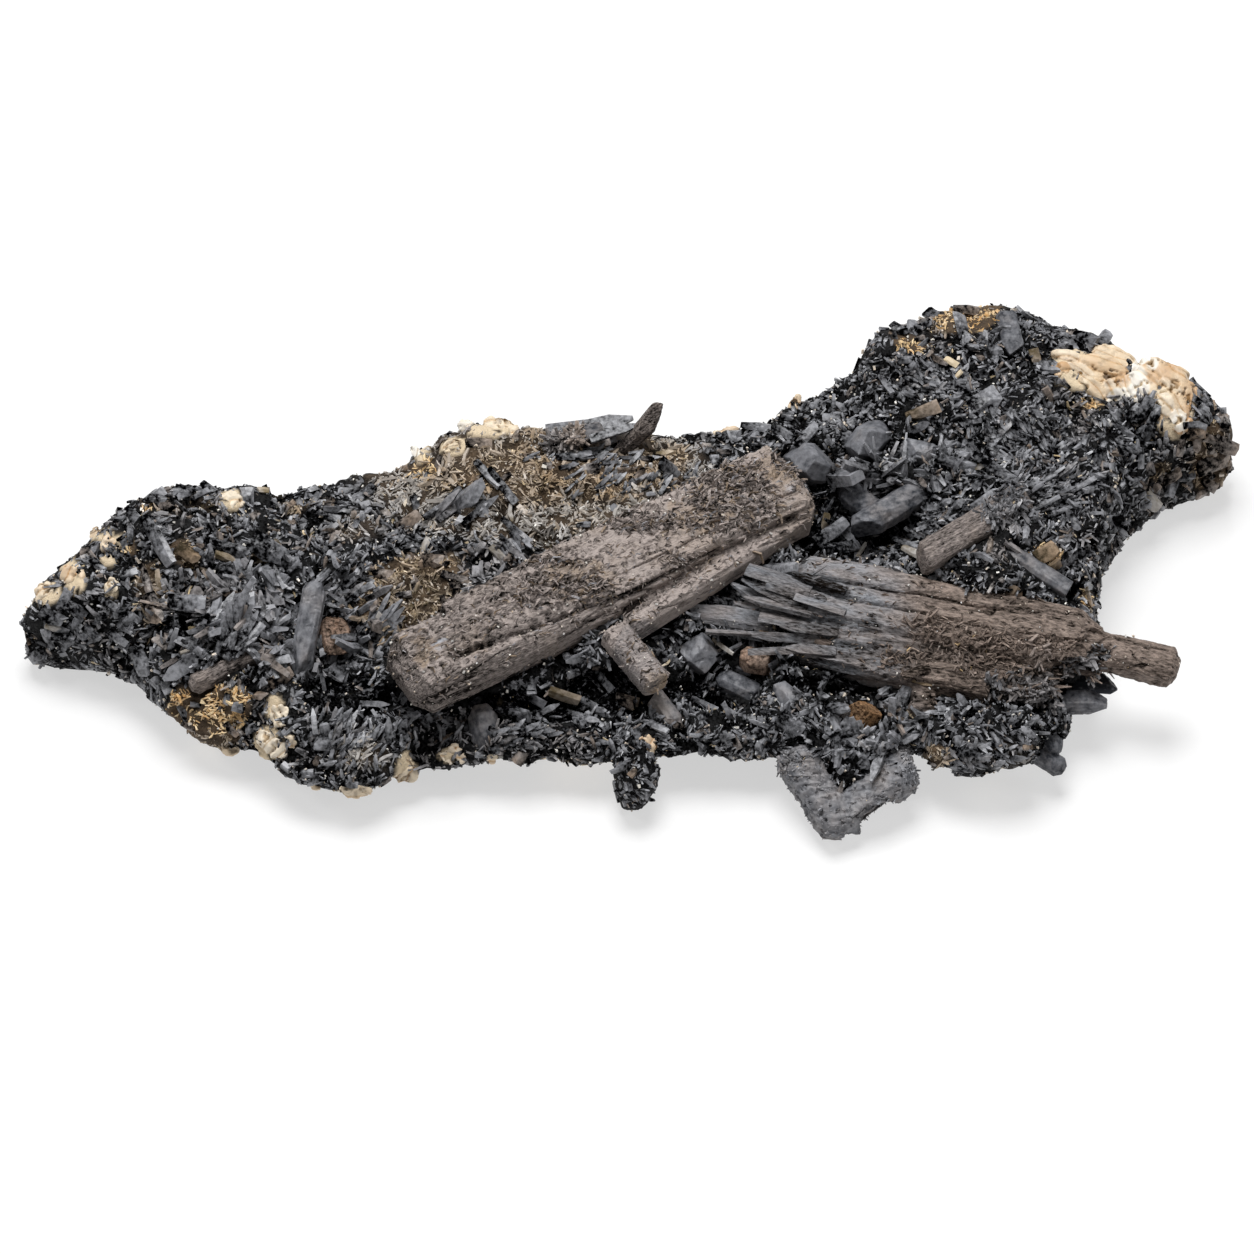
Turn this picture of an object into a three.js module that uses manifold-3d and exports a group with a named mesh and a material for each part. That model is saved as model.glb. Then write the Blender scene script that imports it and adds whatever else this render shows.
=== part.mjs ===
// A natural mineral specimen: a plate of pale feldspar matrix, crusted all over its upper side with
// small dark bladed crystals, that carries larger prisms, laths and one splintery fibrous bundle.
// Millimetres, +Z up. The plate lies flat; its longest way runs along X and its front faces -Y.
// Every large crystal is a solid of its own, seated in a socket of its own shape in the matrix.
import * as THREE from "three";
import { mergeVertices } from "three/addons/utils/BufferGeometryUtils.js";
import Module from "manifold-3d";

const wasm = await Module();
wasm.setup();

// ---- Driving dimensions ---------------------------------------------------------------------

const SEAT_GAP = 0.3; // clear space all round a crystal in its socket
const CORNER_CUT = 0.45; // narrow faces on a lath's long edges, as a share of its half thickness
const END_CHAMFER = 0.3; // slope of a lath's ends, as a share of its thickness
const TRIM_MARGIN = 100; // half size of the block that trims the underside flat
const GRID = { span: 2, across: 13, up: 3 }; // faces of the matrix block: in each span, front to back, up

// The matrix in plan, from its west tip round to its east tip. Each station runs across the plate from a
// place on the front edge to one on the back edge: front x, front y, back x, back y, height of the crust.
const STATIONS = [
  [-60.2, -5.9, -60.0, -4.9, 5.5],
  [-57.2, -7.2, -57.2, -1.2, 8.8],
  [-52.0, -9.0, -53.8, 2.6, 10.8],
  [-47.6, -11.6, -49.2, 6.4, 12.0],
  [-45.6, -15.0, -45.4, 8.8, 12.4],
  [-41.0, -18.6, -40.2, 8.6, 12.0],
  [-35.4, -20.8, -34.4, 9.0, 11.8],
  [-31.4, -24.4, -28.8, 10.6, 11.8],
  [-26.2, -25.4, -23.4, 11.4, 12.0],
  [-21.4, -22.0, -20.2, 14.0, 12.4],
  [-15.0, -21.2, -15.0, 15.8, 13.5],
  [-7.5, -21.6, -8.0, 15.5, 13.8],
  [-1.0, -21.8, -1.6, 15.2, 13.7],
  [6.4, -20.8, 6.2, 15.8, 13.2],
  [12.0, -20.4, 13.0, 17.0, 12.8],
  [17.4, -22.0, 18.2, 20.9, 12.8],
  [24.0, -23.8, 22.6, 24.0, 12.6],
  [29.4, -22.4, 25.6, 28.1, 13.1],
  [35.0, -23.8, 31.6, 31.2, 13.6],
  [39.6, -22.4, 35.8, 32.4, 13.8],
  [42.6, -19.4, 39.8, 31.0, 13.6],
  [44.8, -13.4, 43.8, 29.4, 13.0],
  [46.6, -5.6, 48.2, 27.8, 12.4],
  [46.4, 1.8, 51.4, 25.8, 12.0],
  [48.8, 7.0, 55.0, 23.8, 11.8],
  [52.6, 12.4, 58.0, 21.8, 11.2],
  [57.2, 15.0, 60.2, 20.2, 9.8],
  [61.0, 17.4, 61.4, 18.8, 7.6],
];

// Rounded mounds and hollows on the crust: x, y, radius, rise (a hollow falls).
const RELIEF = [
  [-44.5, 3.5, 5.0, 1.8],
  [-34.0, 4.0, 4.0, -1.2],
  [-16.5, 12.5, 5.0, 1.6],
  [33.0, 27.0, 6.5, 1.6],
  [26.0, 25.0, 3.5, 1.2],
  [47.0, 24.0, 4.5, 0.8],
  [54.5, 19.5, 4.0, 1.2],
  [-33.0, -6.0, 3.5, -2.0],
  [-27.5, -12.0, 5.0, -5.5],
  [-17.5, -17.5, 4.0, -5.0],
  [-5.0, -16.0, 5.5, -4.6],
  [4.5, -13.0, 5.0, -5.2],
  [12.0, -13.0, 4.5, -4.4],
  [11.0, -4.6, 4.2, -4.6],
  [25.5, 3.5, 4.6, -6.2],
  [19.0, 1.5, 3.5, -3.6],
  [24.0, -14.5, 4.6, -4.2],
  [33.0, -15.5, 4.6, -3.4],
  [41.0, -14.0, 4.0, -3.6],
  [42.0, -1.5, 4.0, -2.0],
  [-29.0, -20.0, 4.5, 1.2],
  [37.5, -20.0, 4.0, 0.8],
];

const EDGE_DROP = { front: 6.4, back: 1.6 }; // fall of the crust from its full height to its rims
const EDGE_POWER = { front: 2.6, back: 6.0 }; // how late that fall begins
const UNDERCUT = 0.16; // share by which the underside is narrower than the widest girth
const SHOULDER = 0.03; // the same for the upper rim
const UNDERSIDE = { low: -0.9, rim: 3.6, power: 3.0, rough: 0.75 }; // before the flat is trimmed
const TIPS = { reach: 12.0, power: 30 }; // how far and how late the undercut draws the two tips in
const LEAST_CRUST = 3.2; // lowest that a hollow or the front rim may fall
const LUMPS = { side: 0.5, top: 0.65, sideSize: 6.5, topSize: 5.0 }; // size and pitch of the knobs
const SIDE_SPREAD = { across: 40, up: 6 }; // how far apart the knobs are read over the block's sides

// Lumps of the crust: a foot that stands out of the front edge, and what fills the fork of the elbow twin.
const FOOT = { at: [0.9, -22.2, 3.4], radii: [2.1, 3.2, 3.6], rough: 0.35, detail: 2 };
const FORK_FILL = { at: [21.9, -21.6, 3.4], radii: [3.5, 3.7, 2.3], rough: 0.35, detail: 2 };

// ---- Materials ------------------------------------------------------------------------------

const material = (color, roughness) =>
  new THREE.MeshStandardMaterial({ color, roughness, metalness: 0, flatShading: true });

const CRUST_BLACK = material("#4a4a4d", 0.6);
const PRISM_BROWN = material("#6b615a", 0.7);
const STEEL_GREY = material("#626468", 0.5);
const TAN = material("#8a7462", 0.75);
const RUST = material("#7d5a34", 0.8);

// ---- Solids and small helpers ---------------------------------------------------------------

const bare = (geometry) => {
  geometry.deleteAttribute("normal");
  geometry.deleteAttribute("uv");
  return mergeVertices(geometry, 1e-4);
};

function solidOf(geometry) {
  const merged = bare(geometry);
  return new wasm.Manifold(
    new wasm.Mesh({
      numProp: 3,
      vertProperties: new Float32Array(merged.attributes.position.array),
      triVerts: new Uint32Array(merged.index.array),
    }),
  );
}

function geometryOf(solid) {
  const { vertProperties, triVerts } = solid.getMesh();
  const geometry = new THREE.BufferGeometry();
  geometry.setAttribute("position", new THREE.BufferAttribute(vertProperties, 3));
  geometry.setIndex(new THREE.BufferAttribute(triVerts, 1));
  geometry.computeVertexNormals();
  return geometry;
}

const joined = (solids) => solids.reduce((sum, solid) => sum.add(solid));
const largest = (solid) => solid.decompose().sort((a, b) => b.volume() - a.volume())[0];

const { lerp, smoothstep } = THREE.MathUtils;
const fraction = (value) => value - Math.floor(value);
const hash = (i, j, k) => fraction(Math.sin(i * 127.1 + j * 311.7 + k * 74.7) * 43758.5453);

// Smooth noise from -1 to 1, one knob to each unit of its argument.
function noise(x, y, z) {
  const [i, j, k] = [x, y, z].map(Math.floor);
  const [u, v, w] = [x - i, y - j, z - k].map((f) => smoothstep(f, 0, 1));
  const edge = (dj, dk) => lerp(hash(i, j + dj, k + dk), hash(i + 1, j + dj, k + dk), u);
  return 2 * lerp(lerp(edge(0, 0), edge(1, 0), v), lerp(edge(0, 1), edge(1, 1), v), w) - 1;
}

// Two octaves of it: broad knobs of the given size with smaller ones on them.
function rough(x, y, z, size) {
  const [u, v, w] = [x / size, y / size, z / size];
  return noise(u, v, w) + 0.5 * noise(2.1 * u, 2.1 * v, 7 + 2.1 * w);
}

// ---- The matrix -----------------------------------------------------------------------------

// Where a place on the block lies on the plan: along counts stations, across runs from -1 at the front
// edge to 1 at the back.
function station(along) {
  const row = Math.min(Math.floor(along), STATIONS.length - 2);
  return STATIONS[row].map((value, column) => lerp(value, STATIONS[row + 1][column], along - row));
}

// Height of the crust there.
function crustTop(x, y, across, height) {
  const edge = across < 0 ? "front" : "back";
  let z = height - EDGE_DROP[edge] * Math.pow(Math.abs(across), EDGE_POWER[edge]);
  for (const [cx, cy, radius, rise] of RELIEF)
    z += rise * Math.exp(-((x - cx) ** 2 + (y - cy) ** 2) / radius ** 2);
  return Math.max(z + LUMPS.top * rough(x, y, 3, LUMPS.topSize), LEAST_CRUST);
}

function underside(x, y, across) {
  const rim = Math.pow(Math.abs(across), UNDERSIDE.power);
  return UNDERSIDE.low + UNDERSIDE.rim * rim + UNDERSIDE.rough * rough(x, y, 11, LUMPS.sideSize);
}

// A block of small faces, bent into the plate: its ends and sides bulge at half height.
function matrixBlock() {
  const spans = STATIONS.length - 1;
  const block = new THREE.BoxGeometry(2, 2, 2, GRID.span * spans, GRID.across, GRID.up);
  const p = block.attributes.position;
  for (let n = 0; n < p.count; n++) {
    const [along, across, up] = [p.getX(n), p.getY(n), p.getZ(n)];
    const narrowing = (up < 0 ? UNDERCUT : SHOULDER) * up * up;
    const [frontX, frontY, backX, backY, height] = station(spans * (0.5 + 0.5 * along));
    const knob = rough(frontX, SIDE_SPREAD.across * across, SIDE_SPREAD.up * up, LUMPS.sideSize);
    const share = 0.5 + 0.5 * across * (1 - narrowing);
    const drawnIn = TIPS.reach * narrowing * Math.sign(along) * Math.abs(along) ** TIPS.power;
    const x = lerp(frontX, backX, share) - drawnIn;
    const y = lerp(frontY, backY, share) + LUMPS.side * knob * across ** 3;
    p.setXYZ(n, x, y, lerp(underside(x, y, across), crustTop(x, y, across, height), 0.5 + 0.5 * up));
  }
  return solidOf(block);
}

// A rough ball, for the foot and for nodules.
function nodule({ at, radii, rough: depth, detail = 3 }) {
  const ball = new THREE.IcosahedronGeometry(1, detail);
  const p = ball.attributes.position;
  for (let n = 0; n < p.count; n++) {
    const unit = [p.getX(n), p.getY(n), p.getZ(n)];
    const swell = 1 + (depth / radii[0]) * rough(unit[0] + at[0], unit[1] + at[1], unit[2], 0.7);
    p.setXYZ(n, ...unit.map((value, axis) => at[axis] + value * radii[axis] * swell));
  }
  return solidOf(ball);
}

// ---- Crystals -------------------------------------------------------------------------------

// The cross-section of a lath: a rectangle with its corners cut to narrow faces.
function lathSection(width, thickness) {
  const [w, t] = [width / 2, thickness / 2];
  const cut = CORNER_CUT * Math.min(w, t);
  const shape = new THREE.Shape();
  shape.moveTo(w - cut, -t);
  shape.lineTo(w, -t + cut);
  shape.lineTo(w, t - cut);
  shape.lineTo(w - cut, t);
  shape.lineTo(-w + cut, t);
  shape.lineTo(-w, t - cut);
  shape.lineTo(-w, -t + cut);
  shape.lineTo(-w + cut, -t);
  shape.closePath();
  return shape;
}

// A crystal from one end to the other. grow swells it on every side, for its socket. point is the length
// of its chamfered ends, roll turns it about its length in degrees, and taper is the size of its far end
// as a share of its near one.
function crystal(spec, grow = 0) {
  const { from, to, width, thickness, point, roll, taper } = spec;
  const [start, end] = [new THREE.Vector3(...from), new THREE.Vector3(...to)];
  const axis = end.clone().sub(start);
  const length = axis.length();
  axis.normalize();
  const chamfer = END_CHAMFER * Math.min(width, thickness);
  const section = lathSection(width + 2 * grow, thickness + 2 * grow);
  const bar = new THREE.ExtrudeGeometry(section, {
    depth: length - 2 * point,
    bevelEnabled: true,
    bevelThickness: point + grow,
    bevelSize: chamfer,
    bevelOffset: -chamfer,
    bevelSegments: 1,
  });
  const p = bar.attributes.position;
  for (let n = 0; n < p.count; n++) {
    const scale = lerp(1, taper, (p.getZ(n) + point) / length);
    p.setXYZ(n, p.getX(n) * scale, p.getY(n) * scale, p.getZ(n) + point);
  }
  const across = new THREE.Vector3(axis.y, -axis.x, 0).normalize();
  const upward = new THREE.Vector3().crossVectors(axis, across);
  if (upward.z < 0) {
    across.negate();
    upward.negate();
  }
  const turn = new THREE.Matrix4().makeRotationAxis(axis, THREE.MathUtils.degToRad(roll));
  const place = new THREE.Matrix4().makeBasis(across, upward, axis).premultiply(turn).setPosition(start);
  bar.applyMatrix4(place);
  return solidOf(bar);
}

const piece = (spec, grow) =>
  spec.radii ? nodule({ ...spec, radii: spec.radii.map((r) => r + grow) }) : crystal(spec, grow);
const grown = (specs, grow) => joined(specs.map((spec) => piece(spec, grow)));

// A lath from one end to the other: width in plan, thickness, then what crystal() calls the rest.
const lath = (from, to, width, thickness, point = 0.6, roll = 0, taper = 1) => ({
  from,
  to,
  width,
  thickness,
  point,
  roll,
  taper,
});

// The long brown prism, its thin upper layer, the rail along its front and the stub that crosses it.
const LONG_PRISM = [
  lath([-22.2, -16.9, 11.3], [17.4, 7.0, 12.2], 8.2, 5.2, 1.6, 10),
  lath([-17.0, -12.4, 13.5], [15.6, 7.4, 14.4], 6.0, 1.8, 0.4, 10),
  lath([0.0, -10.7, 11.5], [16.8, 3.0, 11.8], 2.4, 3.0, 0.4, 6),
  lath([-1.6, -10.4, 11.4], [3.2, -16.8, 10.0], 3.1, 2.6, 0.5),
];

// The fibrous bundle: two logs side by side, the rod and the lath that reach past their east end, the
// blades that fan out west and the broken stub that hangs from its front.
const FIBROUS_BUNDLE = [
  lath([15.0, -4.6, 10.4], [46.4, -11.4, 9.6], 8.4, 5.2, 2.4, 12, 0.8),
  lath([15.2, -9.8, 9.0], [42.4, -15.4, 8.0], 5.6, 4.4, 2.0, 22, 0.8),
  lath([40.0, -9.6, 9.4], [54.1, -12.9, 8.3], 3.7, 3.2, 0.7, 10),
  lath([36.0, -10.6, 8.6], [46.6, -12.9, 8.2], 2.2, 2.0, 0.6, 12),
  lath([18.0, -8.6, 9.2], [7.6, -6.6, 8.6], 1.8, 1.2, 0.6, 10),
  lath([19.0, -8.6, 9.9], [10.2, -5.0, 9.2], 1.4, 1.0, 0.6, 16),
  lath([19.4, -7.0, 10.2], [11.6, -3.8, 8.9], 1.5, 1.0, 0.6, 6),
  lath([19.0, -3.8, 10.2], [12.8, -2.5, 8.9], 1.8, 1.2),
  lath([28.8, -12.0, 8.0], [29.0, -17.8, 6.8], 3.0, 2.6),
];

// The other large crystals, each with the material it is made of.
const CRYSTALS = {
  leaning_rod: [STEEL_GREY, lath([28.2, -4.4, 14.1], [40.2, 5.6, 13.6], 3.0, 2.6, 0.8, 10)],
  standing_blade: [PRISM_BROWN, lath([-2.4, 12.0, 10.6], [3.9, 12.9, 18.2], 2.2, 1.7, 1.2)],
  lying_blade: [STEEL_GREY, lath([-8.6, 11.6, 13.6], [-0.4, 12.4, 15.6], 2.2, 1.6, 0.9)],
  west_stubby_prism: [STEEL_GREY, lath([16.8, 13.2, 9.0], [19.6, 8.2, 14.4], 4.2, 4.0, 1.5, 20)],
  north_stubby_prism: [STEEL_GREY, lath([26.0, 16.4, 9.4], [22.2, 10.6, 14.6], 3.6, 4.0, 1.4, -12)],
  hollow_crossing: [
    STEEL_GREY,
    lath([21.3, 8.8, 10.8], [25.2, 5.8, 9.0], 2.8, 2.6, 0.9),
    lath([22.6, 2.6, 10.8], [30.4, 9.2, 10.2], 2.9, 2.8, 0.8),
  ],
  cavity_lath: [STEEL_GREY, lath([27.2, 12.2, 12.6], [31.6, 11.4, 12.2], 2.3, 1.8)],
  drooping_lath: [STEEL_GREY, lath([-30.6, -5.2, 12.4], [-32.4, -14.4, 7.8], 2.3, 1.8, 1.1)],
  brown_plate: [TAN, lath([-29.2, -6.6, 8.8], [-28.2, -10.9, 7.9], 3.0, 1.5, 0.7)],
  front_west_lath: [TAN, lath([-42.8, -15.6, 8.8], [-35.2, -11.2, 9.6], 1.9, 1.9)],
  rounded_crystal: [STEEL_GREY, lath([-14.4, -16.2, 6.8], [-13.6, -20.2, 4.6], 2.9, 2.6, 1.1)],
  shard_below_stub: [STEEL_GREY, lath([2.2, -14.4, 6.8], [5.0, -18.4, 5.8], 2.0, 1.7, 0.7)],
  hollow_boulder: [STEEL_GREY, lath([6.0, -8.5, 7.9], [8.3, -11.9, 7.0], 3.7, 3.0, 1.2)],
  hollow_prism: [STEEL_GREY, lath([8.9, -11.7, 5.6], [13.4, -14.0, 5.0], 2.4, 2.2, 0.8)],
  broken_tan_crystal: [TAN, lath([13.2, -9.4, 5.6], [12.7, -12.0, 8.4], 3.5, 2.6, 0.7)],
  grey_bipyramid: [STEEL_GREY, lath([14.9, -14.0, 7.4], [17.0, -18.2, 6.6], 2.3, 1.7, 1.5)],
  rust_nodule: [RUST, { at: [23.1, -18.0, 7.2], radii: [1.9, 1.5, 1.5], rough: 0.22, detail: 2 }],
  elbow_twin: [
    STEEL_GREY,
    lath([15.8, -20.4, 5.0], [21.2, -28.7, 2.1], 3.8, 3.4, 0.9),
    lath([28.8, -21.2, 4.9], [20.8, -27.4, 2.3], 4.2, 3.4, 0.9),
  ],
  black_lath: [CRUST_BLACK, lath([40.2, -11.5, 5.2], [48.4, -12.3, 5.2], 2.0, 1.5, 0.7)],
  grey_lath: [STEEL_GREY, lath([40.2, -14.3, 4.8], [47.2, -14.9, 5.7], 2.4, 1.8, 0.9)],
  corner_prisms: [
    STEEL_GREY,
    lath([39.4, -16.6, 5.4], [42.4, -20.2, 4.4], 1.8, 1.8),
    lath([38.8, -19.0, 4.2], [42.9, -21.4, 3.0], 1.9, 1.9),
  ],
  east_lath: [STEEL_GREY, lath([37.0, -0.6, 12.2], [44.2, -5.6, 11.0], 1.9, 1.6)],
  north_blade: [STEEL_GREY, lath([38.2, 29.4, 13.8], [39.0, 23.2, 14.4], 2.2, 1.6)],
};

// ---- Assembly -------------------------------------------------------------------------------

const SEATED = {
  long_prism: [PRISM_BROWN, ...LONG_PRISM],
  fibrous_bundle: [PRISM_BROWN, ...FIBROUS_BUNDLE],
  ...CRYSTALS,
};

function matrix() {
  const trim = new THREE.BoxGeometry(2 * TRIM_MARGIN, 2 * TRIM_MARGIN, TRIM_MARGIN);
  trim.translate(0, 0, TRIM_MARGIN / 2);
  const lumps = nodule(FOOT).add(nodule(FORK_FILL));
  const rock = matrixBlock().add(lumps).intersect(solidOf(trim));
  const sockets = Object.values(SEATED).map(([, ...specs]) => grown(specs, SEAT_GAP));
  return largest(rock.subtract(joined(sockets)));
}

function node(name, solid, finish) {
  const mesh = new THREE.Mesh(geometryOf(solid), finish);
  mesh.name = name;
  return mesh;
}

const specimen = new THREE.Group();
specimen.add(node("matrix", matrix(), CRUST_BLACK));
for (const [name, [finish, ...specs]] of Object.entries(SEATED))
  specimen.add(node(name, grown(specs, 0), finish));

// The frame's origin: the middle of the whole specimen in plan, on the surface it rests on.
const bounds = new THREE.Box3().setFromObject(specimen);
const centre = bounds.getCenter(new THREE.Vector3());
specimen.position.set(-centre.x, -centre.y, -bounds.min.z);

export default specimen;
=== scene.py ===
"""A mineral specimen: a plate of pale feldspar, overgrown by a dark crust of small bladed crystals, that
carries a long brown prism, a splintery fibrous bundle and some twenty smaller crystals.
Lengths are in millimetres until a mesh is written, and the specimen lies on z = 0."""

import itertools
import math
from collections import namedtuple

import bmesh
import bpy
import numpy as np
from mathutils import Matrix, Vector
from mathutils.bvhtree import BVHTree


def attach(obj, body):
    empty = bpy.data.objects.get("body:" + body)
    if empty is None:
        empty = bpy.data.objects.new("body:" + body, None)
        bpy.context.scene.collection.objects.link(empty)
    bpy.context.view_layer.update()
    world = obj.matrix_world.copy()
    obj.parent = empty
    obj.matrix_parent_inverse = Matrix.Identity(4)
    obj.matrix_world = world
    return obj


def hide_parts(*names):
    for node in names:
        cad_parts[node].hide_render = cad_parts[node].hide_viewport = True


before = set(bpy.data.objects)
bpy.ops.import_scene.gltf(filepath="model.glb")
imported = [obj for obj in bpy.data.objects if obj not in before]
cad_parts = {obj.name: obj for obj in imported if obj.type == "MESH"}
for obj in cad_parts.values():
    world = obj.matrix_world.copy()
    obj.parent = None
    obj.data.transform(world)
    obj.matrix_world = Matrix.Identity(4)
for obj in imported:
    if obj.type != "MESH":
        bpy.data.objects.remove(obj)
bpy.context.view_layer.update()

MM = 0.001
random = np.random.default_rng(20)

# ---- Camera, light and floor -----------------------------------------------------------------

PICTURE = 1254  # side of the square picture, in pixels
PIXELS_PER_MM = 10.13
ELEVATION = math.radians(50)
DISTANCE = 800
SENSOR = 36
AIM = np.array([-0.6, -8.6, 8.0])
# Lamps: name, place in mm, side in mm and watts.
SOFTBOXES = [
    ("softbox_above", (-40, 170, 620), 340, 4.2),
    ("softbox_left", (-400, 40, 380), 120, 0.35),
    ("softbox_right", (420, -40, 300), 160, 0.26),
    ("softbox_back", (60, 500, 460), 80, 0.45),
]
SKY_STRENGTH = 0.17
SWEEP_GLOW = 0.58
SWEEP_HALF_SIDE = 1.5  # metres
TO_CAMERA = np.array([0, -math.cos(ELEVATION), math.sin(ELEVATION)])
PICTURE_RIGHT = np.array([1.0, 0, 0])
PICTURE_UP = np.array([0, math.sin(ELEVATION), math.cos(ELEVATION)])
EYE = AIM + DISTANCE * TO_CAMERA


def pixels_of(points):
    """Where points in mm fall in the picture, as an array of (u, v)."""
    away = points - EYE
    scale = -PIXELS_PER_MM * DISTANCE / (away @ TO_CAMERA)
    return PICTURE / 2 + np.stack([scale * (away @ PICTURE_RIGHT), -scale * (away @ PICTURE_UP)], 1)


def sight_line(u, v):
    """The direction in which the camera sees a pixel."""
    across, up = (u - PICTURE / 2) / PIXELS_PER_MM, (PICTURE / 2 - v) / PIXELS_PER_MM
    return Vector(across * PICTURE_RIGHT + up * PICTURE_UP - DISTANCE * TO_CAMERA).normalized()


def make_camera():
    data = bpy.data.cameras.new("picture_camera")
    data.sensor_width = SENSOR
    data.lens = SENSOR * DISTANCE * PIXELS_PER_MM / PICTURE
    data.clip_start, data.clip_end = 0.01, 20
    camera = bpy.data.objects.new("picture_camera", data)
    camera.location = EYE * MM
    camera.rotation_euler = (math.pi / 2 - ELEVATION, 0, 0)
    bpy.context.scene.collection.objects.link(camera)
    bpy.context.scene.camera = camera


def softbox(name, place, side, watts):
    """A square lamp that faces the middle of the specimen."""
    data = bpy.data.lights.new(name, "AREA")
    data.size, data.energy = side * MM, watts
    lamp = bpy.data.objects.new(name, data)
    lamp.location = Vector(place) * MM
    lamp.rotation_euler = (-lamp.location).to_track_quat("-Z", "Y").to_euler()
    bpy.context.scene.collection.objects.link(lamp)


def linear(colour):
    """An sRGB hex colour as linear red, green, blue and alpha."""
    parts = [int(colour[i : i + 2], 16) / 255 for i in (1, 3, 5)]
    return [c / 12.92 if c <= 0.04045 else ((c + 0.055) / 1.055) ** 2.4 for c in parts] + [1.0]


def add(tree, kind, settings=None, inputs=None, links=None):
    """Adds a node: its settings, the values of its inputs, and the outputs linked into its inputs."""
    made = tree.nodes.new(kind)
    for name, value in (settings or {}).items():
        setattr(made, name, value)
    for name, value in (inputs or {}).items():
        made.inputs[name].default_value = value
    for name, output in (links or {}).items():
        tree.links.new(output, made.inputs[name])
    return made


OF_COLOURS = {"data_type": "RGBA"}  # what a mix node mixes


def new_material(name):
    material = bpy.data.materials.new(name)
    material.use_nodes = True
    material.node_tree.nodes.clear()
    return material, material.node_tree


def make_surroundings():
    world = bpy.data.worlds.new("studio")
    world.use_nodes = True
    world.node_tree.nodes["Background"].inputs["Color"].default_value = linear("#fbfafa")
    world.node_tree.nodes["Background"].inputs["Strength"].default_value = SKY_STRENGTH
    bpy.context.scene.world = world
    bpy.context.scene.view_settings.view_transform = "Standard"
    for lamp in SOFTBOXES:
        softbox(*lamp)
    # Translucent white sweep, lit a little from below: it keeps the shadows on it pale.
    material, tree = new_material("backlit_white_sweep")
    place = add(tree, "ShaderNodeTexCoord").outputs["Object"]
    tooth = add(tree, "ShaderNodeTexNoise", inputs={"Scale": 1 / (2.5 * MM), "Detail": 3},
                links={"Vector": place})
    tone = add(tree, "ShaderNodeMix", OF_COLOURS, {6: linear("#a9a9a9"), 7: linear("#acacac")},
               {"Factor": tooth.outputs["Fac"]})
    finish = {"Roughness": 0.9, "Specular IOR Level": 0.2, "Emission Color": linear("#ffffff"),
              "Emission Strength": SWEEP_GLOW}
    shader = add(tree, "ShaderNodeBsdfPrincipled", inputs=finish, links={"Base Color": tone.outputs[2]})
    add(tree, "ShaderNodeOutputMaterial", links={"Surface": shader.outputs[0]})
    sheet = bmesh.new()
    bmesh.ops.create_grid(sheet, x_segments=1, y_segments=1, size=SWEEP_HALF_SIDE)
    mesh = bpy.data.meshes.new("floor")
    sheet.to_mesh(mesh)
    sheet.free()
    mesh.materials.append(material)
    floor = bpy.data.objects.new("floor", mesh)
    bpy.context.scene.collection.objects.link(floor)


make_camera()
make_surroundings()

# ---- Noise and meshes ------------------------------------------------------------------------


def hashed(corners, seed):
    """A number from 0 to 1 for each whole-number corner."""
    mixed = corners @ np.array([73856093, 19349663, 83492791]) + seed * 97561
    mixed = ((mixed ^ (mixed >> 13)) * 1274126177) & 0xFFFFFFFF
    mixed = ((mixed ^ (mixed >> 15)) * 668265263) & 0xFFFFFFFF
    return ((mixed ^ (mixed >> 16)) & 0xFFFF) / 0xFFFF


def noise(points, size, seed, octaves=1):
    """Smooth noise from -1 to 1 with lumps of a size in mm, and finer ones on them."""
    total, weight = 0, 0
    for octave in range(octaves):
        scaled = points / size * 2**octave
        corner = np.floor(scaled).astype(np.int64)
        part = scaled - corner
        part = part * part * (3 - 2 * part)
        value = 0
        for step in itertools.product((0, 1), repeat=3):
            share = np.prod(np.where(step, part, 1 - part), axis=1)
            value = value + share * hashed(corner + step, seed + octave)
        total = total + (2 * value - 1) / 2**octave
        weight += 0.5**octave
    return total / weight


def ridges(points, size, seed, octaves=1):
    """Noise folded into sharp crests at 1 and valleys down to -1."""
    return 1 - 2 * np.abs(noise(points, size, seed, octaves))


def warped(points, far, size, seeds, octaves=1):
    """Points moved up to far, in mm, by a noise of their own along each axis."""
    return points + far * np.stack([noise(points, size, seed, octaves) for seed in seeds], 1)


def smoothstep(low, high, value):
    t = np.clip((value - low) / (high - low), 0, 1)
    return t * t * (3 - 2 * t)


def unit(vectors):
    return vectors / np.maximum(np.linalg.norm(vectors, axis=-1, keepdims=True), 1e-9)


def flattened(ways, normals, share=1):
    """Directions laid flat in the surface, or nearly: share is how much of their rise is taken off."""
    return ways - share * normals * (ways * normals).sum(1, keepdims=True)


def scattered(count):
    """Directions of every kind, with a usual length of 1 along each axis."""
    return random.normal(size=(count, 3))


def picked(keep, *arrays):
    return [array[keep] for array in arrays]


def columns(rows):
    """Rows of values as one array for each value."""
    return [np.array(values, float) for values in zip(*rows)]


def read(mesh, what="co"):
    """Vertex places in mm, or another vector of each vertex."""
    values = np.zeros(len(mesh.vertices) * 3, np.float32)
    mesh.vertices.foreach_get(what, values)
    return values.reshape(-1, 3).astype(float) / (MM if what == "co" else 1)


def write(mesh, points):
    mesh.vertices.foreach_set("co", (points * MM).astype(np.float32).ravel())
    mesh.update()


def triangles_of(mesh):
    mesh.calc_loop_triangles()
    corners = np.zeros(len(mesh.loop_triangles) * 3, np.int32)
    mesh.loop_triangles.foreach_get("vertices", corners)
    return corners.reshape(-1, 3)


def tree_of(mesh):
    """What rays are cast against, in mm."""
    return BVHTree.FromPolygons(read(mesh).tolist(), triangles_of(mesh).tolist(), epsilon=0)


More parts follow.
